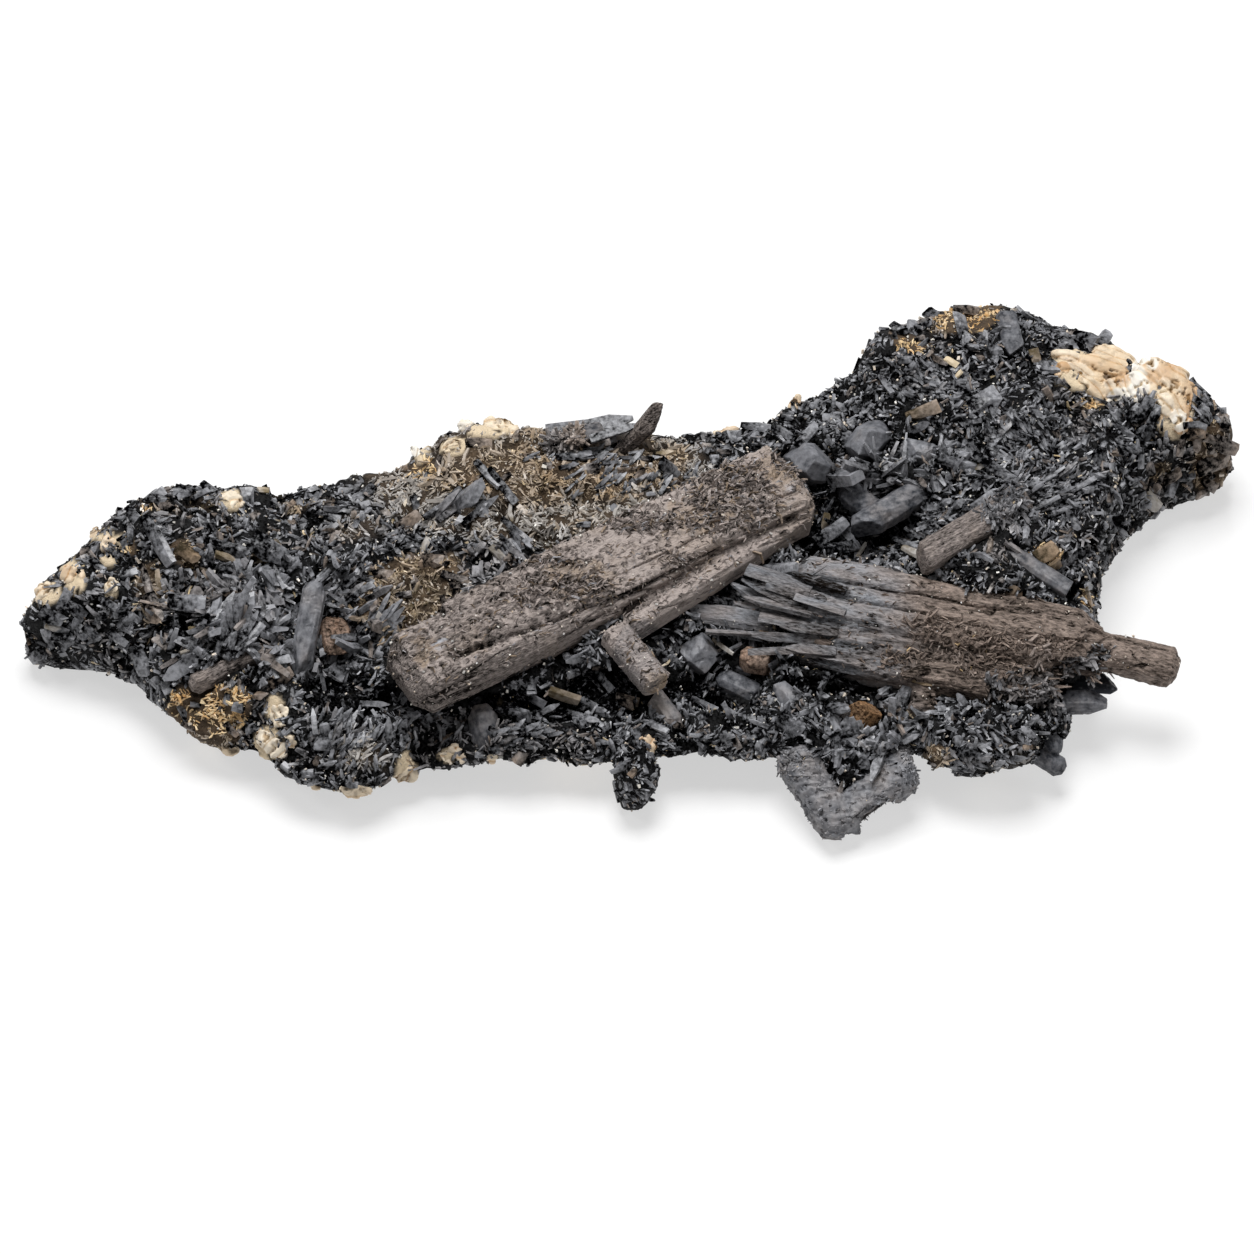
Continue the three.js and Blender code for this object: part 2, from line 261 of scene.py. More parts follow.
def seen_on(tree, u, v):
    """What the camera sees at a pixel: a place and a normal, or None, then two values more."""
    return tree.ray_cast(Vector(EYE), sight_line(u, v))


def mesh_of(name, points, triangles):
    """A flat-faced mesh from arrays of places in mm and of triangles."""
    mesh = bpy.data.meshes.new(name)
    mesh.vertices.add(len(points))
    mesh.loops.add(triangles.size)
    mesh.polygons.add(len(triangles))
    mesh.loops.foreach_set("vertex_index", triangles.ravel().astype(np.int32))
    mesh.polygons.foreach_set("loop_start", np.arange(0, triangles.size, 3, dtype=np.int32))
    write(mesh, points)
    mesh.update(calc_edges=True)
    mesh.shade_flat()
    return mesh


def place_piece(mesh, material, slot, *nodes):
    """Puts a finished mesh into the scene as a piece, which may stand for CAD nodes."""
    piece = bpy.data.objects.new(mesh.name, mesh)
    bpy.context.scene.collection.objects.link(piece)
    mesh.materials.clear()
    mesh.materials.append(material)
    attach(piece, "root")
    if nodes:
        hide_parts(*nodes)
    return piece


def finish_piece(mesh, name, material, slot, *nodes, edge=None):
    """Names, shades and places a mesh. Its edges above an angle in degrees stay sharp."""
    mesh.shade_smooth()
    if edge:
        mesh.set_sharp_from_angle(angle=math.radians(edge))
    mesh.name = name
    place_piece(mesh, material, slot, *nodes)
    return mesh


def paint(mesh, light, stain, pale):
    """Stores how light, how stained and how pale each vertex is, for the materials to read."""
    shares = mesh.color_attributes.new("shares", "FLOAT_COLOR", "POINT")
    count = len(mesh.vertices)
    values = [np.broadcast_to(np.clip(v, 0, 1), count) for v in (light, stain, pale, 1.0)]
    shares.data.foreach_set("color", np.stack(values, 1).astype(np.float32).ravel())


def netted(source, voxel):
    """A mesh, or several that overlap, as one even net of small faces. Uses the source mesh up."""
    holder = bpy.data.objects.new(source.name, source)
    bpy.context.scene.collection.objects.link(holder)
    remesh = holder.modifiers.new("net", "REMESH")
    remesh.mode = "VOXEL"
    remesh.voxel_size = voxel * MM
    bpy.context.view_layer.update()
    mesh = bpy.data.meshes.new_from_object(holder.evaluated_get(bpy.context.evaluated_depsgraph_get()))
    bpy.data.objects.remove(holder)
    bpy.data.meshes.remove(source)
    return mesh


def cut_through(shape, through, facing, clear):
    """Cuts a shape along a plane. With clear, what lies before the plane goes and the cut is closed."""
    whole = shape.verts[:] + shape.edges[:] + shape.faces[:]
    cut = bmesh.ops.bisect_plane(shape, geom=whole, plane_co=through, plane_no=facing, clear_outer=clear)
    if clear:
        rim = [part for part in cut["geom_cut"] if isinstance(part, bmesh.types.BMEdge)]
        bmesh.ops.contextual_create(shape, geom=rim)


def chip(shape, planes):
    """Breaks flat chips off a closed shape. A plane is a direction and how much of the reach it leaves."""
    for facing, share in planes:
        places = np.array([vert.co for vert in shape.verts])
        middle = places.mean(0)
        cut_through(shape, middle + facing * ((places - middle) @ facing).max() * share, facing, True)
    bmesh.ops.triangulate(shape, faces=shape.faces)


def random_planes(count, generator, depth=0.3):
    return [(unit(generator.normal(size=3)), 1 - depth * generator.uniform(0.3, 1.0)) for _ in range(count)]


def seen_planes(rows):
    """Planes given as the camera sees them: how far each faces right, up and towards the camera."""
    basis = np.array([PICTURE_RIGHT, PICTURE_UP, TO_CAMERA])
    return [(unit(np.array(row[:3]) @ basis), row[3]) for row in rows]


def remeshed(node, voxel, chips=0):
    """A copy of a CAD node as an even net of small faces, with chips broken off its corners."""
    shape = bmesh.new()
    shape.from_mesh(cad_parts[node].data)
    bmesh.ops.remove_doubles(shape, verts=shape.verts, dist=1e-6)
    planes = seen_planes(BLOCK_FACES.get(node, ()))
    chip(shape, planes + random_planes(chips, np.random.default_rng(len(node) * 7 + ord(node[0]))))
    source = bpy.data.meshes.new(node + "_source")
    shape.to_mesh(source)
    shape.free()
    return netted(source, voxel)


# ---- Materials -------------------------------------------------------------------------------

GRAIN_CONTRAST = 2.2  # of the grain, from dark to light
BLOTCH = 7  # grains across a blotch
SHEEN_RANGE = 0.12  # of roughness, either way
BUMP_STRENGTH = 0.8


def mineral(name, colours, grain, roughness, bump=0.0, gloss=0.5, streak=None):
    """A stone material. colours are dark, light, stain and pale: the shares on the mesh mix them, and
    noise of a grain size in mm varies them. streak, an angle in the plan, draws the grain out along it."""
    material, tree = new_material(name)
    dark, light, stain, pale = [linear(colour) for colour in colours]
    shares = add(tree, "ShaderNodeAttribute", {"attribute_name": "shares"})
    share = add(tree, "ShaderNodeSeparateColor", links={"Color": shares.outputs["Color"]})
    place = add(tree, "ShaderNodeTexCoord").outputs["Object"]
    if streak is not None:
        place = add(tree, "ShaderNodeMapping", {"vector_type": "TEXTURE"},
                    {"Rotation": (0, 0, streak), "Scale": (3, 1, 1)}, {"Vector": place}).outputs[0]
    detail = {"Scale": 1 / (grain * MM), "Detail": 4, "Roughness": 0.65}
    fine = add(tree, "ShaderNodeTexNoise", inputs=detail, links={"Vector": place})
    broad = add(tree, "ShaderNodeTexNoise", inputs={"Scale": 1 / (BLOTCH * grain * MM), "Detail": 2},
                links={"Vector": place})
    tone = add(tree, "ShaderNodeMath", {"operation": "MULTIPLY_ADD"},
               {1: GRAIN_CONTRAST, 2: -GRAIN_CONTRAST / 2}, {0: fine.outputs["Fac"]})
    tone = add(tree, "ShaderNodeMath", {"operation": "ADD", "use_clamp": True},
               links={0: tone.outputs[0], 1: share.outputs["Red"]})
    ground = add(tree, "ShaderNodeMix", OF_COLOURS, {6: dark, 7: light}, {"Factor": tone.outputs[0]})
    blotch = add(tree, "ShaderNodeMapRange", inputs={"From Min": 0.35, "From Max": 0.65, "To Min": 0.55},
                 links={"Value": broad.outputs["Fac"]})
    stained = add(tree, "ShaderNodeMath", {"operation": "MULTIPLY"},
                  links={0: share.outputs["Green"], 1: blotch.outputs[0]})
    tint = add(tree, "ShaderNodeMix", OF_COLOURS, {6: dark, 7: stain}, {"Factor": tone.outputs[0]})
    ground = add(tree, "ShaderNodeMix", OF_COLOURS,
                 links={"Factor": stained.outputs[0], 6: ground.outputs[2], 7: tint.outputs[2]})
    ground = add(tree, "ShaderNodeMix", OF_COLOURS, {7: pale},
                 {"Factor": share.outputs["Blue"], 6: ground.outputs[2]})
    sheens = {"To Min": roughness - SHEEN_RANGE, "To Max": roughness + SHEEN_RANGE}
    sheen = add(tree, "ShaderNodeMapRange", inputs=sheens, links={"Value": fine.outputs["Fac"]})
    glossy = add(tree, "ShaderNodeMath", {"operation": "MULTIPLY"}, {1: gloss}, {0: tone.outputs[0]})
    shader = add(tree, "ShaderNodeBsdfPrincipled", links={
        "Base Color": ground.outputs[2],
        "Roughness": sheen.outputs[0],
        "Specular IOR Level": glossy.outputs[0],
    })
    if bump:
        raised = add(tree, "ShaderNodeBump", inputs={"Strength": BUMP_STRENGTH, "Distance": bump * MM},
                     links={"Height": fine.outputs["Fac"]})
        tree.links.new(raised.outputs[0], shader.inputs["Normal"])
    add(tree, "ShaderNodeOutputMaterial", links={"Surface": shader.outputs[0]})
    return material


# Black manganese-iron phosphate crust: glassy little blades, near black where they stand close from the
# painted shade at their roots. Its golden pale serves for painted glints and paler ground.
CRUST = mineral("dark_druse", ("#030304", "#9a9ba0", "#a08870", "#f2d9aa"), 0.5, 0.36, gloss=0.6)
# Feldspar and its crust in one rough block: black gaps, dark crust painted near black as the shade between
# the blades, rusty stains and bare cream cleavages.
ROCK = mineral("crusted_feldspar", ("#010101", "#1f1f20", "#604e3a", "#dfccae"), 0.28, 0.65, 0.3, 0.3)
# Weathered brown prism: a dull, woody surface with fine lengthwise striae. Its bluish pale is mostly painted
# sheen along edges.
BROWN = mineral("weathered_brown_prism", ("#1c1917", "#b4a8a2", "#a08b74", "#b9bdc6"), 0.17, 0.55, 0.3, 0.3,
                streak=math.radians(31))
# Fibrous bundle: matt brown fibres side by side, greyer towards the west end.
FIBROUS = mineral("fibrous_brown_bundle", ("#1a1613", "#a29186", "#92959b", "#e1c290"), 0.22, 0.55, 0.2, 0.3,
                  streak=math.radians(-13))
# Slate-grey crystals: smooth satin faces, bluish, faintly clouded.
SLATE = mineral("slate_grey_crystal", ("#36383d", "#808186", "#9c8772", "#c8ccd4"), 0.8, 0.45, 0.05, 0.45)
# Broken tan crystals: dull, granular fracture faces, brown in places.
TAN = mineral("broken_tan_crystal", ("#40362f", "#c4aa98", "#a27350", "#f0d8b8"), 0.3, 0.5, 0.12, 0.4)
# Grains of clean feldspar and mica: nearly white, some ochre, and glassy. The white chips also serve as
# painted glints.
GLINT = mineral("pale_grains_and_painted_glints", ("#6c6c70", "#c9c9cc", "#d2a468", "#f4efe4"), 0.4, 0.25, gloss=0.7)
# Limonite: earthy and matt, with light grains.
RUST = mineral("ochre_limonite", ("#21150e", "#b09478", "#c48c54", "#ecc68e"), 0.25, 0.7, 0.2, 0.3)
# Golden-brown blades, stained right through by iron.
OCHRE = mineral("ochre_blades", ("#120c07", "#d2b486", "#d8ac72", "#f8e4bc"), 0.5, 0.4, gloss=0.6)
# Bare feldspar: satin cream cleavage faces, honey brown stains that are deepened as painted shade in the
# crevices, with a white heart.
FELDSPAR = mineral("cream_albite", ("#5a4226", "#e6d3b2", "#c08d52", "#ece8e0"), 0.8, 0.45, 0.05, 0.4)

# ---- Kinds of ground -------------------------------------------------------------------------

# Patches of ground as the camera sees them: centre u, v, half width, half height, strength.
CREAM = [
    (70, 568, 8, 11, 1.0), (48, 594, 15, 12, 1.0), (78, 586, 12, 9, 0.9), (112, 591, 9, 9, 0.9),
    (116, 541, 8, 9, 0.9), (107, 560, 11, 9, 0.8), (100, 536, 22, 9, 0.8), (230, 502, 12, 10, 1.0),
    (489, 427, 22, 11, 1.1), (454, 447, 14, 10, 1.0), (420, 447, 9, 16, 1.0), (512, 426, 8, 8, 0.8),
    (275, 710, 13, 16, 0.9), (269, 742, 14, 17, 1.1), (219, 751, 11, 5, 0.8), (345, 795, 34, 7, 1.0),
    (405, 770, 11, 18, 1.0), (449, 755, 13, 7, 0.9), (1120, 375, 54, 19, 1.2), (1173, 404, 17, 28, 1.2),
    (1070, 362, 20, 12, 1.1), (795, 402, 10, 8, 0.6), (725, 421, 16, 5, 0.7),
]
GOLD = [
    (210, 708, 42, 24, 1.1), (968, 318, 36, 18, 0.9), (915, 345, 24, 14, 0.8), (1046, 557, 14, 13, 1.0),
    (1086, 598, 8, 15, 0.8), (147, 504, 6, 10, 0.9), (130, 545, 10, 14, 0.7), (985, 792, 13, 8, 0.8),
    (1198, 425, 9, 13, 0.7), (425, 468, 24, 14, 0.6), (1090, 405, 26, 8, 0.6),
]
BROWN_GROUND = [
    (415, 600, 48, 34, 1.3), (186, 553, 14, 13, 1.2), (150, 595, 14, 34, 1.0), (268, 552, 20, 16, 0.7),
    (205, 735, 50, 22, 0.7), (560, 466, 170, 50, 0.8), (445, 562, 26, 20, 0.5), (1218, 462, 26, 42, 1.1),
    (1162, 474, 14, 16, 0.8), (938, 756, 13, 14, 0.9), (700, 760, 70, 24, 0.3), (930, 330, 60, 30, 0.4),
    (90, 640, 60, 24, 0.25), (1010, 640, 60, 30, 0.2), (185, 505, 60, 22, 0.5), (300, 505, 60, 26, 0.45),
    (90, 560, 40, 30, 0.45),
]
# Hollows sunk into the rock, where shade is painted: the ground, the blades and the chunks there are painted
# darker, and fewer blades and glints grow.
SHADED_HOLLOWS = [
    (350, 695, 52, 20, 1.0), (530, 708, 66, 20, 0.9), (625, 690, 74, 34, 0.8), (862, 515, 64, 40, 0.9),
    (840, 676, 60, 20, 1.0), (1072, 590, 14, 10, 1.0), (182, 628, 20, 12, 1.0), (254, 564, 15, 10, 1.0),
    (1010, 690, 80, 14, 0.9), (815, 530, 18, 34, 1.0), (720, 690, 50, 26, 0.8), (300, 672, 22, 14, 0.6),
    (258, 652, 18, 9, 0.9),
]
PALE_GREY = [
    (545, 480, 185, 64, 1.0), (360, 530, 60, 34, 0.5), (360, 752, 56, 40, 0.6), (1005, 755, 46, 36, 0.5),
    (1040, 485, 60, 34, 0.35), (230, 625, 60, 34, 0.3), (870, 735, 60, 34, 0.4),
]
BLOCKY = [
    (1205, 455, 42, 44, 1.0), (62, 622, 52, 30, 0.9), (160, 668, 26, 20, 0.8), (1085, 345, 44, 12, 0.8),
    (905, 330, 30, 16, 0.8), (175, 500, 44, 14, 0.8), (1150, 480, 24, 20, 0.8), (1085, 690, 30, 30, 0.7),
    (990, 790, 40, 12, 0.7), (730, 432, 44, 10, 0.7), (340, 478, 50, 12, 0.6),
]
COARSE = [
    (225, 620, 70, 52, 1.0), (340, 640, 60, 40, 0.8), (870, 500, 80, 60, 0.9), (880, 725, 90, 34, 0.7),
]
EVERYWHERE = [(0, 0, 1e4, 1e4, 2)]
PATCH_FALLOFF = 0.55  # strength lost from the centre of a patch to its edge
PATCH_EDGE = (0.35, 0.6)  # strengths between which a kind of ground fades in
Ground = namedtuple("Ground", "cream gold brown hollow pale coarse blocky")


def within(patches, pixels, ragged):
    """How far each pixel lies inside any of the patches, 0 to 1, with their edges made ragged."""
    best = np.full(len(pixels), -9.0)
    for u, v, wide, high, strength in patches:
        reach = ((pixels[:, 0] - u) / wide) ** 2 + ((pixels[:, 1] - v) / high) ** 2
        best = np.maximum(best, strength - PATCH_FALLOFF * reach)
    return smoothstep(*PATCH_EDGE, best + ragged)


def seen_share(normals):
    """1 where a surface faces the camera, down to 0 where it turns away."""
    return smoothstep(-0.1, 0.25, normals @ TO_CAMERA)


def rim_share(normals, start=0.6, full=0.25):
    """1 where the camera sees a surface edge on, as along an outline, down to 0 elsewhere."""
    return smoothstep(start, full, np.abs(normals @ TO_CAMERA))


def kinds_of_ground(points, normals):
    """How far the ground is of each kind at each point, from 0 to 1."""
    pixels = pixels_of(points)
    seen = seen_share(normals)
    ragged = 0.33 * noise(points, 1.6, 5, 3)
    return Ground(
        cream=within(CREAM, pixels, ragged) * seen,
        gold=within(GOLD, pixels, ragged) * seen,
        brown=within(BROWN_GROUND, pixels, ragged),
        hollow=within(SHADED_HOLLOWS, pixels, 0.2 * ragged) * seen,
        pale=within(PALE_GREY, pixels, 0.5 * ragged) * seen,
        coarse=within(COARSE, pixels, ragged) * seen,
        blocky=within(BLOCKY, pixels, ragged),
    )


# ---- The rock --------------------------------------------------------------------------------

# Large faces cut on a crystal: how far each faces right, up and towards the camera, and how much of the
# crystal's reach it leaves.
BLOCK_FACES = {
    "west_stubby_prism": [(-0.6, 0.3, 0.75, 0.6), (0.5, 0.15, 0.85, 0.62), (0, -0.95, 0.3, 0.66),
                          (0.15, 0.9, 0.4, 0.7), (-0.9, -0.3, 0.3, 0.74), (0.9, -0.35, 0.2, 0.74),
                          (0.7, 0.7, 0.2, 0.7), (-0.6, -0.75, 0.3, 0.72)],
    "north_stubby_prism": [(-0.5, 0.35, 0.8, 0.58), (0.55, -0.05, 0.83, 0.62), (-0.1, 0.95, 0.25, 0.7),
                           (0.2, -0.95, 0.25, 0.66), (0.85, 0.5, 0.15, 0.74), (-0.75, -0.65, 0.2, 0.7),
                           (-0.75, 0.6, 0.3, 0.74), (0.8, -0.6, 0.2, 0.74)],
    "hollow_boulder": [(-0.3, 0.5, 0.8, 0.7), (0.4, -0.1, 0.9, 0.72), (0.7, 0.6, 0.3, 0.75),
                       (-0.5, -0.8, 0.3, 0.75)],
    "broken_tan_crystal": [(0.1, 0.35, 0.93, 0.7), (0.8, -0.5, 0.3, 0.75), (-0.8, -0.4, 0.4, 0.8)],
    "grey_bipyramid": [(-0.6, 0.1, 0.8, 0.6), (0.5, 0.2, 0.83, 0.6)],
    "drooping_lath": [(-0.75, 0.05, 0.65, 0.7), (0.7, -0.1, 0.7, 0.72), (0, -0.8, 0.6, 0.85)],
    "lying_blade": [(0.75, 0.65, 0.1, 0.62), (0.5, -0.85, 0.1, 0.5), (-0.8, 0.5, 0.2, 0.75),
                    (0, 0.6, 0.8, 0.6)],
    "standing_blade": [(-0.75, 0.65, 0, 0.42), (0.2, -0.1, 0.97, 0.6), (0.9, -0.3, 0.2, 0.8)],
    "north_blade": [(0.6, -0.8, 0.1, 0.72), (-0.8, -0.5, 0.2, 0.75), (0, 0.2, 0.98, 0.6)],
    "brown_plate": [(-0.8, 0.55, 0.2, 0.82), (0.65, -0.75, 0.2, 0.85)],
    "rust_nodule": [(-0.75, 0.3, 0.6, 0.72), (0.55, 0.75, 0.35, 0.7), (0.7, -0.6, 0.4, 0.74),
                    (0, 0.1, 1, 0.8)],
    "rounded_crystal": [(-0.5, -0.3, 0.8, 0.8), (0.6, -0.5, 0.6, 0.85)],
    "cavity_lath": [(-0.7, 0.05, 0.7, 0.6), (0.6, -0.1, 0.8, 0.62), (0.6, 0.8, 0.2, 0.84),
                    (-0.5, -0.85, 0.3, 0.88)],
}

ROCK_NET = 0.4
# The angle in degrees above which an edge stays sharp, on the large crystals and on the small ones.
CREASE, SMALL_CREASE = 35, 32
FLAT_REST = 0.25  # the underside below this height stays flat


def relief_of(points):
    """Lumps and pits of the crust, in mm."""
    lumps = 0.75 * noise(points, 3.4, 7, 2) + 0.35 * ridges(points, 1.5, 8, 2) - 0.1
    return lumps - 0.9 * smoothstep(0.25, 0.6, noise(points, 2.2, 14, 2))


def make_rock():
    """The matrix with the relief of its crust, smoother where bare feldspar shows."""
    mesh = remeshed("matrix", ROCK_NET)
    points, normals = read(mesh), read(mesh, "normal")
    ground = kinds_of_ground(points, normals)
    hidden_cream = smoothstep(0.28, 0.36, noise(points, 7.0, 31, 3)) * (1 - seen_share(normals))
    relief = relief_of(points)
    rise = relief * (1 - 0.5 * ground.cream) + 0.14 * noise(points, 0.7, 9, 2)
    rise = rise + 0.25 * ground.cream - 1.2 * ground.hollow
    loose = smoothstep(FLAT_REST, 1.5, points[:, 2])
    moved = points + normals * (rise * loose)[:, None]
    moved[:, 2] = np.maximum(moved[:, 2], 0)
    write(mesh, moved)
    # Painted light and shade: the ground is lighter on the crests of the relief and darker in its pits and in
    # hollows.
    light = 0.15 + 0.5 * smoothstep(-0.3, 0.7, relief) - 0.5 * ground.hollow + 0.9 * ground.gold
    light = light + 0.4 * np.maximum(ground.brown, ground.pale)
    stain = np.maximum.reduce([ground.brown, ground.gold, 0.6 * ground.pale])
    dots = smoothstep(0.42, 0.5, noise(points, 0.75, 12, 1))
    paint(mesh, light, stain, np.maximum(ground.cream, hidden_cream) * (1 - 0.95 * dots))
    return finish_piece(mesh, "rock_and_crust", ROCK, "crust", "matrix")


rock = make_rock()
GROUND = tree_of(rock)

# ---- The crystals that stand for CAD nodes -----------------------------------------------------

# Node, material, slot, net, chips, depth of striae, depth of dents, lightness, stain
SMALL_CRYSTALS = [
    ("leaning_rod", BROWN, "grey_crystal", 0.12, 2, 0.04, 0.06, 0.45, 0.0),
    ("standing_blade", BROWN, "brown_prism", 0.09, 2, 0.06, 0.05, 0.35, 0.1),
    ("lying_blade", SLATE, "grey_crystal", 0.09, 3, 0.1, 0.08, 0.30, 0.3),
    ("west_stubby_prism", SLATE, "grey_crystal", 0.1, 1, 0.0, 0.015, 0.70, 0.0),
    ("north_stubby_prism", SLATE, "grey_crystal", 0.1, 1, 0.0, 0.015, 0.68, 0.0),
    ("hollow_crossing", SLATE, "grey_crystal", 0.11, 3, 0.04, 0.06, 0.40, 0.05),
    ("cavity_lath", SLATE, "grey_crystal", 0.08, 1, 0.08, 0.06, 0.78, 0.0),
    ("drooping_lath", SLATE, "grey_crystal", 0.09, 3, 0.08, 0.05, 0.66, 0.0),
    ("brown_plate", TAN, "tan_crystal", 0.08, 3, 0.0, 0.18, 0.27, 0.4),
    ("front_west_lath", BROWN, "tan_crystal", 0.09, 2, 0.05, 0.03, 0.40, 0.1),
    ("rounded_crystal", SLATE, "grey_crystal", 0.10, 2, 0.0, 0.04, 0.50, 0.15),
    ("shard_below_stub", SLATE, "grey_crystal", 0.08, 2, 0.04, 0.04, 0.75, 0.4),
    ("hollow_boulder", SLATE, "grey_crystal", 0.08, 3, 0.0, 0.06, 0.78, 0.0),
    ("hollow_prism", SLATE, "grey_crystal", 0.09, 3, 0.02, 0.04, 0.42, 0.0),
    ("broken_tan_crystal", TAN, "tan_crystal", 0.10, 3, 0.03, 0.12, 0.45, 0.2),
    ("grey_bipyramid", SLATE, "grey_crystal", 0.09, 2, 0.02, 0.04, 0.70, 0.0),
    ("rust_nodule", RUST, "rust", 0.08, 4, 0.0, 0.2, 0.36, 0.55),
    ("black_lath", SLATE, "crust", 0.08, 2, 0.02, 0.03, 0.05, 0.0),
    ("grey_lath", SLATE, "grey_crystal", 0.09, 3, 0.05, 0.06, 0.50, 0.0),
    ("corner_prisms", SLATE, "grey_crystal", 0.09, 2, 0.02, 0.03, 0.30, 0.0),
    ("east_lath", SLATE, "grey_crystal", 0.09, 3, 0.04, 0.04, 0.45, 0.1),
    ("north_blade", SLATE, "grey_crystal", 0.08, 3, 0.04, 0.04, 0.40, 0.0),
    ("elbow_twin", SLATE, "grey_crystal", 0.13, 2, 0.14, 0.2, 0.75, 0.16),
]


def main_axis(points):
    """The direction in which a shape is longest."""
    return np.linalg.svd(points - points.mean(0), full_matrices=False)[2][0]


def drawn_out(points, axis, times):
    """The points squeezed along an axis, so that noise read there is drawn out along it."""
    along = points @ axis
    return points - np.outer(along * (1 - 1 / times), axis)


# Where a crystal is thinner than its CAD node: patches in the picture, and how far in mm they are sunk.
SUNK = {
    "elbow_twin": ([(888, 822, 28, 15, 1.3)], 1.1),
    "lying_blade": ([(560, 450, 40, 8, 1.2), (546, 430, 18, 11, 1.2)], 0.6),
}


def refine(node, material, slot, net, chips, striae, dents, light, stain):
    """A small crystal from its CAD node, chipped, drawn with striae along its length and dented."""
    mesh = remeshed(node, net, chips)
    points, normals = read(mesh), read(mesh, "normal")
    lengthwise = drawn_out(points, main_axis(points), 9)
    rise = striae * (noise(lengthwise, 0.3, 40, 2) - 0.8 * smoothstep(0.6, 0.9, ridges(lengthwise, 0.7, 41)))
    rise = rise + dents * (0.6 * noise(points, 0.9, 42, 3) - smoothstep(0.45, 0.6, noise(points, 0.4, 43)))
    if node in SUNK:
        patches, depth = SUNK[node]
        rise = rise - depth * within(patches, pixels_of(points), 0)
    write(mesh, points + normals * rise[:, None])
    streaks = noise(lengthwise, 0.25, 44, 2)
    blotches = noise(points, 1.4, 45, 2)
    paint(mesh, light + 0.25 * streaks + 0.15 * blotches, stain + 0.3 * blotches, 0)
    return finish_piece(mesh, node + "_crystal", material, slot, node, edge=SMALL_CREASE)


SHAPES = [refine(*row) for row in SMALL_CRYSTALS]

PRISM_NET = 0.16
PRISM_AXIS = unit(np.array([39.6, 23.9, 0.9]))
# Grooves along the prism: a line in the picture, its width in mm and its depth in mm.
PRISM_GROOVES = [
    ([(455, 657), (530, 628), (590, 606), (640, 588), (700, 556), (760, 524)], 0.35, 0.45),
    ([(626, 613), (717, 556), (792, 520)], 0.45, 0.6),
    ([(463, 594), (520, 571), (580, 548)], 0.3, 0.25),
    ([(520, 606), (560, 588), (600, 572)], 0.3, 0.3),
    ([(560, 640), (610, 612)], 0.25, 0.3),
]
# The front edge of the upper layer, in the picture.
LEDGE_U = (455, 530, 590, 640, 700, 760, 800)
LEDGE_V = (657, 628, 606, 588, 556, 524, 504)
# Patches of the prism, in the picture: painted sheen along two edges, golden tints, tufts of curls, and the
# darker stub.
PRISM_PAINTED_SHEEN = [(445, 645, 15, 7, 1.0), (790, 492, 9, 26, 0.7)]
PRISM_TINTED = [
    (578, 582, 34, 20, 1.0), (700, 515, 40, 18, 0.9), (785, 470, 34, 24, 0.8), (425, 655, 30, 26, 0.6),
]
PRISM_TUFTS = [
    (730, 500, 44, 34, 1.1), (575, 590, 60, 14, 0.9), (520, 600, 50, 12, 0.7), (640, 522, 66, 12, 0.9),
    (555, 565, 50, 10, 0.8), (720, 475, 50, 12, 0.9), (790, 460, 26, 18, 0.8), (680, 560, 40, 14, 0.6),
]
STUB = [(640, 658, 28, 40, 1.0)]
STUB_RUST = [(656, 683, 14, 12, 1.0)]


def line_distance(pixels, line):
    """How far in mm of picture each pixel lies from a line of points."""
    best = np.full(len(pixels), 1e9)
    for start, end in zip(line[:-1], line[1:]):
        start, step = np.array(start, float), np.subtract(end, start)
        share = np.clip(((pixels - start) @ step) / (step @ step), 0, 1)
        best = np.minimum(best, np.linalg.norm(pixels - start - share[:, None] * step, axis=1))
    return best / PIXELS_PER_MM


